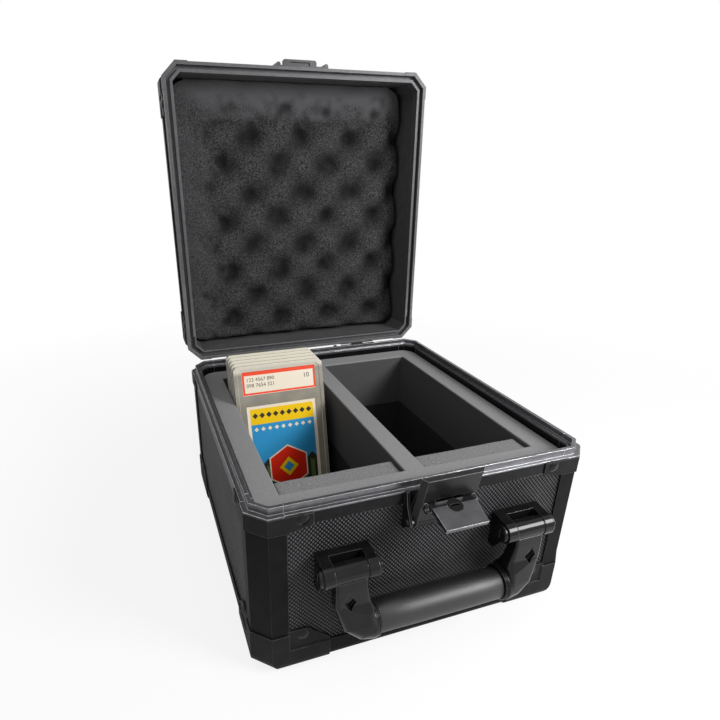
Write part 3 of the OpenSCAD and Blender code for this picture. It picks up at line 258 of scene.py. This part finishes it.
lidTurn = math.radians(91.9)  # turns the open lid's pattern back to the closed lid
frontLaminate = diamondLaminate("diamondLaminateFront", ("X", "Z"))
sideLaminate = diamondLaminate("diamondLaminateSide", ("Y", "Z"))
lidFrontLaminate = diamondLaminate("diamondLaminateLidFront", ("X", "Z"), lidTurn)
lidSideLaminate = diamondLaminate("diamondLaminateLidSide", ("Y", "Z"), lidTurn)
lidTopLaminate = diamondLaminate("diamondLaminateLidTop", ("X", "Y"), lidTurn)
floorLaminate = diamondLaminate("diamondLaminateFloor", ("X", "Y"))


# Closed-cell foam: fine matt grain, glued from two layers; its top is painted paler than the
# walls, as painted light from above
cutFoam = {"skin": (1.6 * mm, 0.4 * mm), "stops": (0.35, 0.65), "rough": 0.95, "shine": 0.2,
           "glueHalf": 0.3 * mm, "glueShare": 2.0, "glue": "#5a5a5b"}


def cellFoam(name, look):
    material, tree, place = startMaterial(name)
    cells = addNode(tree, "TexNoise", inputs=lumps(place, look["cell"]))
    skin, wall = [addNode(tree, "ValToRGB", inputs={"Fac": cells},
                          stops=zip(cutFoam["stops"], look[part])) for part in ("skin", "wall")]
    upper = above(tree, place, "Z", look["seam"] - cutFoam["glueHalf"],
                  look["seam"] + cutFoam["glueHalf"])
    rest = addNode(tree, "Math", {"operation": "SUBTRACT"}, {0: 1, 1: upper})
    glued = addNode(tree, "Math", {"operation": "MULTIPLY"}, {0: upper, 1: rest})
    glued = addNode(tree, "Math", {"operation": "MULTIPLY"}, {0: glued, 1: cutFoam["glueShare"]})
    tone = addNode(tree, "Mix", inColour, {"Factor": upper, 6: look["foot"], 7: wall})
    tone = addNode(tree, "Mix", inColour, {"Factor": glued, 6: tone, 7: cutFoam["glue"]})
    # painted light: a band at the top is painted paler, as lit from above
    atTop = above(tree, place, "Z", *[look["top"] - depth for depth in cutFoam["skin"]])
    tone = addNode(tree, "Mix", inColour, {"Factor": atTop, 6: tone, 7: skin})
    normal = addNode(tree, "Bump", inputs={"Distance": look["depth"], "Strength": 1.0,
                                           "Height": cells})
    return finishMaterial(material, {
        "Roughness": cutFoam["rough"], "Specular IOR Level": cutFoam["shine"],
        "Base Color": tone, "Normal": normal})


insertFoam = cellFoam("closedCellFoam", {
    "skin": ("#7e7e7f", "#8c8c8d"), "wall": ("#464647", "#515152"), "foot": "#282829",
    "top": 123 * mm, "seam": 69.5 * mm, "cell": 0.7 * mm, "depth": 0.12 * mm})
# Open-cell sponge of the spacers: coarser, and in one layer, so its seam is below its foot; its
# top too is painted paler, as painted light
spongeFoam = cellFoam("openCellSponge", {
    "skin": ("#636364", "#8b8b8c"), "wall": ("#303031", "#3c3c3d"), "foot": "#303031",
    "top": 120 * mm, "seam": 10 * mm, "cell": 0.9 * mm, "depth": 0.2 * mm})


# Convoluted sponge of the lid: charcoal, very matt, with pores; its hollows are painted darker as
# painted shade, and its flat front band paler as painted light
sponge = {"pore": 1.3 * mm, "poreDetail": 6.0, "depth": 0.35 * mm, "rough": 1.0, "shine": 0.12,
          "raised": ((0.38, "#212122"), (0.68, "#4f4f50")),
          "sunken": ((0.3, "#161617"), (0.7, "#252526")), "plain": "#525254"}


def convolutedSponge(name):
    material, tree, place = startMaterial(name)
    pores = addNode(tree, "TexNoise", inputs=lumps(place, sponge["pore"], sponge["poreDetail"]))
    raised, sunken = [addNode(tree, "ValToRGB", inputs={"Fac": pores}, stops=sponge[part])
                      for part in ("raised", "sunken")]
    hollow, plain = [addNode(tree, "Attribute", {"attribute_name": layer}).outputs["Fac"]
                     for layer in ("hollow", "plain")]
    tone = addNode(tree, "Mix", inColour, {"Factor": hollow, 6: raised, 7: sunken})
    tone = addNode(tree, "Mix", inColour, {"Factor": plain, 6: tone, 7: sponge["plain"]})
    normal = addNode(tree, "Bump", inputs={"Distance": sponge["depth"], "Strength": 1.0,
                                           "Height": pores})
    return finishMaterial(material, {
        "Roughness": sponge["rough"], "Specular IOR Level": sponge["shine"],
        "Base Color": tone, "Normal": normal})


crateSponge = convolutedSponge("convolutedSponge")


# Vinyl grip: fine leather grain pressed into a soft black skin
vinyl = {"grain": 1.0 * mm, "depth": 0.16 * mm, "relief": 0.8, "rough": 0.42, "shine": 0.6,
         "tones": ((0.0, "#121213"), (0.25, "#1d1d1e"))}


def grainedVinyl(name):
    material, tree, place = startMaterial(name)
    cells = addNode(tree, "TexVoronoi", {"feature": "DISTANCE_TO_EDGE"},
                    {"Scale": 1 / vinyl["grain"], "Vector": place}).outputs["Distance"]
    tone = addNode(tree, "ValToRGB", inputs={"Fac": cells}, stops=vinyl["tones"])
    normal = addNode(tree, "Bump", inputs={"Distance": vinyl["depth"], "Height": cells,
                                           "Strength": vinyl["relief"]})
    return finishMaterial(material, {
        "Roughness": vinyl["rough"], "Specular IOR Level": vinyl["shine"],
        "Base Color": tone, "Normal": normal})


gripVinyl = grainedVinyl("leatherGrainVinyl")

lean = math.radians(14.5)  # how far the slabs lean back
outward = Vector((0, -math.cos(lean), math.sin(lean)))
upward = Vector((0, math.sin(lean), math.cos(lean)))


# Injection-moulded clear polystyrene, warm with age: each slab has a pale front edge that is
# painted highlight, a duller body behind it and a dark gap to the next one that is painted shade,
# and the thick border over the label is paler; its bright rounded edges are painted highlight
slab = {"foot": (0, 12.6 * mm, 24.25 * mm), "pitch": 7.7 * mm, "gap": 0.35 * mm,
        "rough": 0.16, "ior": 1.59, "round": 0.4 * mm, "cloud": 14 * mm,
        "side": ("#a7a08e", "#b9b29e"), "face": ("#898378", "#9a9586"),
        "paleEdge": (3.0 * mm, 2.2 * mm), "edgeHighlight": "#fbf6ea",
        "gapEdge": (0.45 * mm, 0.25 * mm), "dark": "#575043",
        "head": (127.5 * mm, 130.5 * mm), "border": "#cdc7b8",
        "facing": (0.6, 0.9), "glint": 0.8, "bright": "#fffdf6"}


def clearPolystyrene(name):
    material, tree, place = startMaterial(name)
    rounded, onEdge = roundedEdges(tree, slab["round"])
    flat = addNode(tree, "NewGeometry").outputs["True Normal"]
    along, rise, facing = [addNode(tree, "VectorMath", {"operation": "DOT_PRODUCT"},
                                   {0: source, 1: direction}).outputs["Value"]
                           for source, direction in ((place, outward), (place, upward),
                                                     (flat, outward))]
    foot = Vector(slab["foot"])
    deep = addNode(tree, "Math", {"operation": "SUBTRACT"}, {0: foot.dot(outward), 1: along})
    deep = addNode(tree, "Math", {"operation": "ADD"}, {0: deep, 1: slab["gap"]})
    deep = addNode(tree, "Math", {"operation": "FLOORED_MODULO"}, {0: deep, 1: slab["pitch"]})
    rise = addNode(tree, "Math", {"operation": "SUBTRACT"}, {0: rise, 1: foot.dot(upward)})
    edgeHighlight = addNode(tree, "MapRange", inputs=between(deep, slab["paleEdge"]))
    gap = addNode(tree, "MapRange", inputs=between(deep, slab["gapEdge"]))
    head = addNode(tree, "MapRange", inputs=between(rise, slab["head"]))
    onFront = addNode(tree, "MapRange", inputs=between(facing, slab["facing"]))
    side = mottled(tree, place, slab["cloud"], slab["side"])
    # painted highlight along each slab's front edge, then painted shade in the gap
    side = addNode(tree, "Mix", inColour, {"Factor": edgeHighlight, 6: side, 7: slab["edgeHighlight"]})
    side = addNode(tree, "Mix", inColour, {"Factor": gap, 6: side, 7: slab["dark"]})
    face = mottled(tree, place, slab["cloud"], slab["face"])
    face = addNode(tree, "Mix", inColour, {"Factor": head, 6: face, 7: slab["border"]})
    tone = addNode(tree, "Mix", inColour, {"Factor": onFront, 6: side, 7: face})
    # painted highlight on the rounded edges
    glint = addNode(tree, "Math", {"operation": "MULTIPLY"}, {0: onEdge, 1: slab["glint"]})
    tone = addNode(tree, "Mix", inColour, {"Factor": glint, 6: tone, 7: slab["bright"]})
    return finishMaterial(material, {"Roughness": slab["rough"], "IOR": slab["ior"],
                                     "Base Color": tone, "Normal": rounded})


slabPlastic = clearPolystyrene("clearPolystyrene")

# Coated paper and card in one printed colour, with faint fibres
paper = {"rough": 0.35, "fibre": 0.6 * mm, "fibres": ("#c8c8c8", "#ffffff"), "share": 0.12}


def printed(name, colour):
    material, tree, place = startMaterial(name)
    fibres = mottled(tree, place, paper["fibre"], paper["fibres"])
    tone = addNode(tree, "Mix", {**inColour, "blend_type": "MULTIPLY"},
                   {"Factor": paper["share"], 6: colour, 7: fibres})
    return finishMaterial(material, {"Roughness": paper["rough"], "Base Color": tone})


inks = {
    "cream": printed("creamCard", "#efe3cd"),
    "yellow": printed("yellowInk", "#f5c800"),
    "blue": printed("blueInk", "#2f93c8"),
    "red": printed("redInk", "#e02810"),
    "dark": printed("darkInk", "#2b2a20"),
    "green": printed("greenInk", "#5d6f3c"),
    "border": printed("redOrangeInk", "#ee4722"),
    "field": printed("creamLabel", "#efe4cf"),
    "rib": printed("paleMouldedRib", "#e3ddcf"),
}

looks = [
    (blackAnodised, ("corner_posts", "base_edges", "lid_corner_posts", "lid_edges")),
    (bodyRim, ("body_rim", "body_rim_corners")),
    (lidRim, ("lid_rim", "lid_rim_corners")),
    (frontLaminate, ("front_panel", "back_panel")),
    (sideLaminate, ("left_panel", "right_panel")),
    (lidFrontLaminate, ("lid_front_wall", "lid_back_wall")),
    (lidSideLaminate, ("lid_left_wall", "lid_right_wall")),
    (lidTopLaminate, ("lid_top_panel",)),
    (floorLaminate, ("floor_panel",)),
    (powderCoated, ("top_caps", "base_caps", "lid_caps")),
    (rivetSteel, ("case_rivets", "hinge_body_rivets", "latch_rivets", "lid_rivets")),
    (linerBoard, ("lid_liner",)),
    (satinSteel, ("hinge_body_leaves", "hinge_lid_leaves", "latch_base", "hook_plate")),
    (paleCatchSteel, ("lid_catch",)),
    (pinSteel, ("hinge_pins", "latch_pin", "flap_pins", "handle_pins", "handle_core_bar",
                "lock_cam")),
    (glossPlastic, ("handle_bracket_left", "handle_bracket_right", "handle_arm_left",
                    "handle_arm_right", "handle_collars", "handle_screws")),
    (gunmetal, ("lock_flap",)),
    (keyBlack, ("lock_cylinder",)),
    (slabPlastic, ("front_slab_shell", "slab_2", "slab_3", "slab_4", "slab_5")),
    (inks["field"], ("front_slab_label",)),
    (inks["cream"], ("front_slab_card",)),
]
for material, names in looks:
    for name in names:
        nodes[name].data.materials.clear()
        nodes[name].data.materials.append(material)


def finishPiece(mesh, name, materials, body, smooth=True):  # bmesh to a riding object
    data = bpy.data.meshes.new(name)
    mesh.to_mesh(data)
    mesh.free()
    piece = bpy.data.objects.new(name, data)
    bpy.context.scene.collection.objects.link(piece)
    for material in materials:
        data.materials.append(material)
    for face in data.polygons:
        face.use_smooth = smooth
    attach(piece, body)
    return piece


def roundEdges(mesh, edges, size, segments):
    bmesh.ops.bevel(mesh, geom=edges, offset=size, offset_type="OFFSET", affect="EDGES",
                    segments=segments, profile=0.5, material=-1, clamp_overlap=True)


def startBlock(low, high):  # a box between two corners
    mesh = bmesh.new()
    bmesh.ops.create_cube(mesh, size=1)
    size = Vector(high) - Vector(low)
    bmesh.ops.scale(mesh, vec=size, verts=mesh.verts)
    bmesh.ops.translate(mesh, vec=(Vector(high) + Vector(low)) / 2, verts=mesh.verts)
    return mesh


def cutAt(mesh, axis, level):  # a cut through everything, across an axis
    normal = [0, 0, 0]
    normal[axis] = 1
    point = [0, 0, 0]
    point[axis] = level
    geometry = mesh.verts[:] + mesh.edges[:] + mesh.faces[:]
    bmesh.ops.bisect_plane(mesh, geom=geometry, plane_co=point, plane_no=normal, dist=1e-7)


print("foam insert")
insert = {"corner": 14 * mm, "cornerSteps": 8, "edge": 0.9 * mm, "edgeSteps": 3, "sharp": 60,
          "bayX": (7.75 * mm, 98.25 * mm), "bayY": (-101.8 * mm, 104.8 * mm)}


def roundCorners(mesh):  # the four upright corners of a block
    upright = [e for e in mesh.edges if abs(e.verts[0].co.z - e.verts[1].co.z) > 1 * mm]
    roundEdges(mesh, upright, insert["corner"], insert["cornerSteps"])


def easeEdges(mesh):  # takes the sharpness off the cut edges
    limit = math.radians(insert["sharp"])
    sharp = [e for e in mesh.edges if len(e.link_faces) == 2 and e.calc_face_angle() > limit]
    roundEdges(mesh, sharp, insert["edge"], insert["edgeSteps"])


mesh = startBlock(*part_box("foam_insert"))
roundCorners(mesh)
for level in insert["bayX"]:
    cutAt(mesh, 0, level)
    cutAt(mesh, 0, -level)
for level in insert["bayY"]:
    cutAt(mesh, 1, level)
inBay = []
for face in mesh.faces:
    middle = face.calc_center_median()
    if (insert["bayX"][0] < abs(middle.x) < insert["bayX"][1]
            and insert["bayY"][0] < middle.y < insert["bayY"][1]):
        inBay.append(face)
bmesh.ops.delete(mesh, geom=inBay, context="FACES")
for side in (-1, 1):
    rim = [e for e in mesh.edges if e.is_boundary and e.verts[0].co.x * side > 0]
    bmesh.ops.bridge_loops(mesh, edges=rim)
bmesh.ops.recalc_face_normals(mesh, faces=mesh.faces)
easeEdges(mesh)
foamInsert = finishPiece(mesh, "foamInsert", [insertFoam], "case", smooth=False)
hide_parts("foam_insert")

print("floor pad and spacers")
mesh = startBlock(*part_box("floor_pad"))
roundCorners(mesh)
easeEdges(mesh)
floorPad = finishPiece(mesh, "floorPad", [insertFoam], "case", smooth=False)
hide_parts("floor_pad")

spacerForm = {"edge": 1.6 * mm, "edgeSteps": 3, "cuts": 22, "thinCuts": 4, "sag": 0.5 * mm,
              "lump": 14 * mm}


def spongeSpacer(name, node, body):  # a cut sponge block with faintly uneven faces
    low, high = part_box(node)
    mesh = startBlock(low, high)
    roundEdges(mesh, mesh.edges[:], spacerForm["edge"], spacerForm["edgeSteps"])
    for axis in range(3):
        for i in range(1, spacerForm["cuts"]):
            if axis != 1 or i % spacerForm["thinCuts"] == 0:  # fewer cuts across its thickness
                cutAt(mesh, axis, low[axis] + (high[axis] - low[axis]) * i / spacerForm["cuts"])
    middle = (low + high) / 2
    for vert in mesh.verts:
        lump = noise.noise(vert.co / spacerForm["lump"])
        inward = (middle - vert.co).normalized()
        vert.co += inward * spacerForm["sag"] * (0.5 + 0.5 * lump)
    piece = finishPiece(mesh, name, [spongeFoam], body)
    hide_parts(node)


spongeSpacer("leftSpongeSpacer", "left_spacer", "spacer_left")
spongeSpacer("rightSpongeSpacer", "right_spacer", "spacer_right")

print("egg-crate foam")
crate = {
    # the sheet and its place in the lid
    "right": 114.6 * mm, "back": 121.6 * mm, "liner": (116.8 * mm, 123.8 * mm),
    "corner": 12 * mm, "steps": (150, 160), "base": 8.9 * mm, "lidTop": 183 * mm,
    "hinge": (136.4 * mm, 128.4 * mm), "thick": 15.7 * mm,
    # its hollows, deeper along one diagonal, and its uneven skin; how deep a point lies in a
    # hollow also darkens its colour, as painted shade
    "dip": 9 * mm, "pitch": (53 * mm, 51.4 * mm), "firstHollow": (6.7 * mm, -25.3 * mm),
    "diagonals": (0.6, 0.4), "warp": 5 * mm, "warpSize": 30 * mm, "seed": 1795580562,
    "lumpSize": 9 * mm, "lumpDepth": 0.4, "lumpRise": 0.5 * mm, "skin": 0.8 * mm, "shade": 1.15,
    # the bands along the lid's front and left edges that are cut flat; the front band is painted
    # paler, as painted light
    "band": 26 * mm, "leftBand": 0.9, "bandStart": 0.45, "bandLump": 0.5, "bandFade": 0.9,
    "bandDip": 0.8, "bandTones": (0.25, 0.7),
    # its cut edges
    "roundOver": (4 * mm, 5 * mm), "ripple": 1.1 * mm, "ripplePower": 6}
mesh = bmesh.new()
bmesh.ops.create_grid(mesh, x_segments=crate["steps"][0], y_segments=crate["steps"][1], size=1)
hollowShadeLayer = mesh.verts.layers.float.new("hollow")
bandToneAndLightLayer = mesh.verts.layers.float.new("plain")
noise.seed_set(crate["seed"])  # noise_vector is random unless it has a seed
for vert in mesh.verts:
    u, v = vert.co.x, vert.co.y
    y = v * (crate["back"] if v > 0 else crate["liner"][1])
    over = max(abs(y) - crate["back"] + crate["corner"], 0) / crate["corner"]
    half = crate["right"] if u > 0 else crate["liner"][0]
    half -= crate["corner"] * (1 - math.sqrt(max(1 - min(over, 1) ** 2, 0)))
    x = u * half
    bent = noise.noise_vector(Vector((x, y, 0)) / crate["warpSize"]) * crate["warp"]
    right = (x + bent.x - crate["firstHollow"][0]) / crate["pitch"][0]
    back = (y + bent.y - crate["firstHollow"][1]) / crate["pitch"][1]
    wave = (crate["diagonals"][0] * math.cos(2 * math.pi * (right + back))
            + crate["diagonals"][1] * math.cos(2 * math.pi * (right - back)))
    lump = noise.noise(Vector((x, y, 0)) / crate["lumpSize"])
    hollow = ((1 + wave) / 2) ** 2 * (1 + crate["lumpDepth"] * lump)
    toFront = (y + crate["liner"][1]) / crate["band"]
    toLeft = (x + crate["liner"][0]) / crate["band"] * crate["leftBand"]
    inward = min(toFront, toLeft) - crate["bandStart"] + crate["bandLump"] * lump
    plain = 1 - min(max(inward, 0) / crate["bandFade"], 1)
    # painted shade: the hollows are darkened in the colour
    vert[hollowShadeLayer] = min(hollow * crate["shade"], 1) * (1 - plain)
    share = min(max((toLeft - toFront) * 2 + 0.5, 0), 1)  # painted light: the front band is painted paler than the left one
    vert[bandToneAndLightLayer] = plain * (crate["bandTones"][0] + crate["bandTones"][1] * share)
    z = (crate["thick"] - crate["skin"] - crate["dip"] * hollow * (1 - plain * crate["bandDip"])
         + lump * crate["lumpRise"])
    edge = min(1 - u, 1 - v) * crate["right"]
    if edge < crate["roundOver"][0]:
        z -= (crate["roundOver"][0] - edge) ** 2 / crate["roundOver"][1]
    ripple = crate["ripple"] * math.cos(2 * math.pi * (y + x) / crate["pitch"][1])
    ripple *= max(u, v, 0) ** crate["ripplePower"]
    vert.co = (x - (ripple if u > abs(v) else 0), y - (ripple if v > abs(u) else 0), z)
rimEdges = [e for e in mesh.edges if e.is_boundary]
skirt = bmesh.ops.extrude_edge_only(mesh, edges=rimEdges)["geom"]
lowEdges = [g for g in skirt if isinstance(g, bmesh.types.BMEdge) and g.is_boundary]
for vert in {v for e in lowEdges for v in e.verts}:
    vert.co.z = 0
bmesh.ops.contextual_create(mesh, geom=lowEdges)
intoLid = Matrix.Translation((0, 0, crate["lidTop"])) @ Matrix.Scale(-1, 4, (0, 0, 1))
intoLid = intoLid @ Matrix.Translation((0, 0, crate["base"]))
hinge = Vector((0, *crate["hinge"]))
opened = (Matrix.Translation(hinge) @ Matrix.Rotation(-lidTurn, 4, "X")
          @ Matrix.Translation(-hinge))
bmesh.ops.transform(mesh, matrix=opened @ intoLid, verts=mesh.verts)
bmesh.ops.recalc_face_normals(mesh, faces=mesh.faces)
crateFoam = finishPiece(mesh, "eggCrateFoam", [crateSponge], "lid")
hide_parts("eggcrate_foam")

print("grip")
grip = {"half": 47.25 * mm, "bore": 5.05 * mm, "radius": 11.2 * mm, "end": 10.4 * mm,
        "rounding": (0.9 * mm, 0.3 * mm), "axis": (-145.5 * mm, 45 * mm), "steps": 64}
mesh = bmesh.new()
shoulder = (grip["half"] - grip["rounding"][0], grip["radius"] - grip["rounding"][1])
outline = [(grip["half"] * 0.5, grip["radius"]), shoulder, (grip["half"], grip["end"]),
           (grip["half"], grip["bore"])]
profile = [(-x, r) for x, r in reversed(outline)] + outline
line = [mesh.verts.new((x, 0, r)) for x, r in profile]
edges = [mesh.edges.new(pair) for pair in zip(line, line[1:] + line[:1])]
bmesh.ops.spin(mesh, geom=line + edges, axis=(1, 0, 0), cent=(0, 0, 0), angle=2 * math.pi,
               steps=grip["steps"], use_merge=True)
bmesh.ops.remove_doubles(mesh, verts=mesh.verts, dist=1e-6)
bmesh.ops.recalc_face_normals(mesh, faces=mesh.faces)
bmesh.ops.translate(mesh, vec=(0, *grip["axis"]), verts=mesh.verts)
vinylGrip = finishPiece(mesh, "vinylGrip", [gripVinyl], "handle")
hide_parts("handle_grip")

print("cards")


def nodeCentre(node):
    points = [v.co for v in nodes[node].data.vertices]
    return sum(points, Vector()) / len(points)


def onSlab(centre, u, v, lift):  # a place on the slab's plane, u right and v up
    spot = centre + Vector((u, 0, 0)) + upward * v + outward * lift
    axes = Matrix((Vector((1, 0, 0)), upward, outward)).transposed().to_4x4()
    return Matrix.Translation(spot) @ axes


def inkFaces(faces, ink):
    for face in faces:
        face.material_index = inkNames.index(ink)


def addTile(mesh, matrix, width, height, ink):  # a printed rectangle
    size = Matrix.Diagonal((width, height, 1, 1))
    made = bmesh.ops.create_grid(mesh, x_segments=1, y_segments=1, size=0.5, matrix=matrix @ size)
    inkFaces({f for v in made["verts"] for f in v.link_faces}, ink)


def addShape(mesh, matrix, radius, sides, ink):  # a printed regular shape, one tip up
    made = bmesh.ops.create_circle(mesh, cap_ends=True, segments=sides, radius=radius,
                                   matrix=matrix)
    inkFaces({f for v in made["verts"] for f in v.link_faces}, ink)


def plainNumbers(mesh, text, matrix, height):  # plain digits as flat shapes
    curve = bpy.data.curves.new("digits", "FONT")
    curve.body = text
    curve.size = height
    digits = bpy.data.objects.new("digits", curve)
    flat = bpy.data.meshes.new_from_object(digits)
    flat.transform(matrix)
    before = set(mesh.faces)
    mesh.from_mesh(flat)
    inkFaces(set(mesh.faces) - before, "dark")
    bpy.data.objects.remove(digits)
    bpy.data.curves.remove(curve)
    bpy.data.meshes.remove(flat)


inkNames = list(inks)
card = {"size": (63.5 * mm, 88.9 * mm), "border": 2.6 * mm, "lift": 0.33 * mm, "step": 0.03 * mm,
        "rib": 0.7 * mm, "topRib": (4 * mm, 12 * mm)}
label = {"size": (66.7 * mm, 20.6 * mm), "border": 1.7 * mm, "band": 3.4 * mm,
         "rows": ((1.5 * mm, 1), (-3.6 * mm, -1)), "rowStart": -30 * mm, "digits": 4.6 * mm,
         "grade": (22 * mm, 6 * mm)}
# The generic design: a banner with dark diamonds, a band with cream ones, an open field, dark
# peaks over green stripes, and a hexagon with two diamonds in it. Heights are shares of the
# card's height.
art = {"banner": 0.4, "band": 0.26, "bandTall": 9 * mm, "field": (0.05, 0.32),
       "ground": (-0.28, 0.36), "peaks": -0.1, "emblem": (2 * mm, -0.17),
       "diamonds": (9, 6.2 * mm, 2.6 * mm, 2.0 * mm), "stripes": (7, 8.3 * mm, 4.1 * mm, 4 * mm),
       "hexagons": (20.6 * mm, 19.2 * mm), "core": (9 * mm, 5 * mm)}


def printCard(name, body, shift, scheme, number):
    mesh = bmesh.new()
    centre = nodeCentre("front_slab_card") + shift
    w, h = card["size"]
    main, second, third, deep = scheme

    def place(u, v, layer):
        return onSlab(centre, u, v, card["lift"] + layer * card["step"])

    inner = w - 2 * card["border"]
    rib = card["rib"]
    addTile(mesh, place(0, 0, -1), w + 2 * rib, h + 2 * rib, "rib")
    addTile(mesh, place(0, h / 2 + card["topRib"][0], -1), w + card["topRib"][1], rib, "rib")
    addTile(mesh, place(0, 0, 0), w, h, "cream")
    addTile(mesh, place(0, 0, 1), inner, h - 2 * card["border"], main)
    addTile(mesh, place(0, h * art["band"], 2), inner, art["bandTall"], second)
    count, pitch, large, small = art["diamonds"]
    for i in range(count):
        u = (i - count // 2) * pitch
        addShape(mesh, place(u, h * art["band"], 3), small, 4, "cream")
        addShape(mesh, place(u, h * art["banner"], 3), large, 4, deep)
    for ink, (middle, tall) in ((second, art["field"]), (deep, art["ground"])):
        addTile(mesh, place(0, h * middle, 2), inner, h * tall, ink)
    count, pitch, large, small = art["stripes"]
    for i in range(count):
        u = (i - count // 2) * pitch
        addShape(mesh, place(u, h * art["peaks"], 3), large, 4, deep)
        addTile(mesh, place(u, h * art["ground"][0], 3), small, h * art["ground"][1], "green")
    rings = [(radius, 6) for radius in art["hexagons"]] + [(radius, 4) for radius in art["core"]]
    for i, ((radius, sides), ink) in enumerate(zip(rings, ("cream", third, main, second))):
        addShape(mesh, place(art["emblem"][0], h * art["emblem"][1], 4 + i), radius, sides, ink)
    labelMiddle = nodeCentre("front_slab_label") + shift
    lw, lh = label["size"]
    border, band = label["border"], label["band"]

    def onLabel(u, v, layer):
        return onSlab(labelMiddle, u, v, card["lift"] + layer * card["step"])

    addTile(mesh, onLabel(0, 0, -1), lw + 2 * rib, lh + 2 * rib, "rib")
    addTile(mesh, onLabel(0, 0, 0), lw, lh, "border")
    addTile(mesh, onLabel(0, (border - band) / 2, 1), lw - 2 * border, lh - border - band, "field")
    for v, order in label["rows"]:  # the lower row is the upper one turned round
        plainNumbers(mesh, number[::order], onLabel(label["rowStart"], v, 2), label["digits"])
    plainNumbers(mesh, "10", onLabel(label["grade"][0], 0, 2), label["grade"][1])
    finishPiece(mesh, name, list(inks.values()), body, smooth=False)


schemes = [("yellow", "blue", "red", "dark"), ("blue", "red", "yellow", "dark"),
           ("red", "yellow", "blue", "dark"), ("green", "yellow", "red", "dark"),
           ("yellow", "red", "blue", "dark")]
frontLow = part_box("front_slab_shell")[0]
for i, scheme in enumerate(schemes):
    node = "front_slab_shell" if i == 0 else f"slab_{i + 1}"
    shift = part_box(node)[0] - frontLow
    printCard(f"cardPrint{i + 1}", f"card_{i + 1}", shift, scheme, f"{i + 1}23 4567 890")

print("stage")
# White studio sweep: the camera sees it as white, and it keeps the shadow
studio = {"size": 6, "paint": "#f6f6f6", "rough": 0.9, "world": "#ffffff", "light": 0.32,
          "fade": (0.25, 0.8), "glow": (0.84, 1.0)}  # it glows more away from the object
mesh = bmesh.new()
bmesh.ops.create_grid(mesh, x_segments=1, y_segments=1, size=studio["size"])
data = bpy.data.meshes.new("floorSheet")
mesh.to_mesh(data)
mesh.free()
floorSheet = bpy.data.objects.new("floorSheet", data)
bpy.context.scene.collection.objects.link(floorSheet)
floorPaint, tree, place = startMaterial("studioFloorPaint")
paint = addNode(tree, "BsdfPrincipled",
                inputs={"Roughness": studio["rough"], "Base Color": studio["paint"]})
glow = addNode(tree, "Emission", inputs={"Strength": 1.0})
distance = addNode(tree, "VectorMath", {"operation": "LENGTH"}, {0: place}).outputs["Value"]
share = addNode(tree, "MapRange", inputs={**between(distance, studio["fade"]),
                                          "To Min": studio["glow"][0],
                                          "To Max": studio["glow"][1]})
seen = addNode(tree, "LightPath").outputs["Is Camera Ray"]
share = addNode(tree, "Math", {"operation": "MULTIPLY"}, {0: seen, 1: share})
mixed = addNode(tree, "MixShader", inputs={0: share, 1: paint, 2: glow})
addNode(tree, "OutputMaterial", inputs={"Surface": mixed})
data.materials.append(floorPaint)

world = bpy.data.worlds.new("studioWorld")
bpy.context.scene.world = world
world.use_nodes = True
tree = world.node_tree
tree.nodes.clear()
rays = addNode(tree, "LightPath").outputs
shown = addNode(tree, "Math", {"operation": "MAXIMUM"},
                {0: rays["Is Camera Ray"], 1: rays["Is Glossy Ray"]})
shown = addNode(tree, "Math", {"operation": "MAXIMUM"},
                {0: shown, 1: rays["Is Transmission Ray"]})
white = addNode(tree, "Background", inputs={"Strength": 1.0, "Color": studio["world"]})
dim = addNode(tree, "Background", inputs={"Strength": studio["light"], "Color": studio["world"]})
both = addNode(tree, "MixShader", inputs={0: shown, 1: dim, 2: white})
addNode(tree, "OutputWorld", inputs={"Surface": both})

lamps = {
    "frontSoftbox": {"place": (0.55, -0.62, 0.6), "aim": (0, 0, 0.13), "size": 0.36, "power": 9.6},
    "topSoftbox": {"place": (-0.2, -0.3, 1.4), "aim": (0, 0, 0.1), "size": 0.9, "power": 3.4},
    "leftSoftbox": {"place": (-1.5, -0.5, 0.8), "aim": (0, 0, 0.15), "size": 0.9, "power": 1.6},
}
for name, lamp in lamps.items():
    light = bpy.data.lights.new(name, "AREA")
    light.shape = "SQUARE"
    light.size = lamp["size"]
    light.energy = lamp["power"]
    holder = bpy.data.objects.new(name, light)
    holder.location = lamp["place"]
    aim = Vector(lamp["aim"]) - Vector(lamp["place"])
    holder.rotation_euler = aim.to_track_quat("-Z", "Y").to_euler()
    bpy.context.scene.collection.objects.link(holder)

view = {"place": (-170.57 * mm, -381.11 * mm, 323.7 * mm), "yaw": 18.93, "pitch": 23.32,
        "roll": 0.15, "lens": 26.67, "film": 36, "near": 10 * mm, "shift": (0.0643, 0.0353)}
lens = bpy.data.cameras.new("camera")
lens.lens = view["lens"]
lens.sensor_width = view["film"]
lens.shift_x, lens.shift_y = view["shift"]
lens.clip_start = view["near"]
camera = bpy.data.objects.new("camera", lens)
camera.rotation_euler = (Matrix.Rotation(-math.radians(view["yaw"]), 3, "Z")
                         @ Matrix.Rotation(math.radians(90 - view["pitch"]), 3, "X")
                         @ Matrix.Rotation(math.radians(view["roll"]), 3, "Z")).to_euler()
camera.location = view["place"]
bpy.context.scene.collection.objects.link(camera)
bpy.context.scene.camera = camera
bpy.context.scene.view_settings.view_transform = "Standard"

print("done")
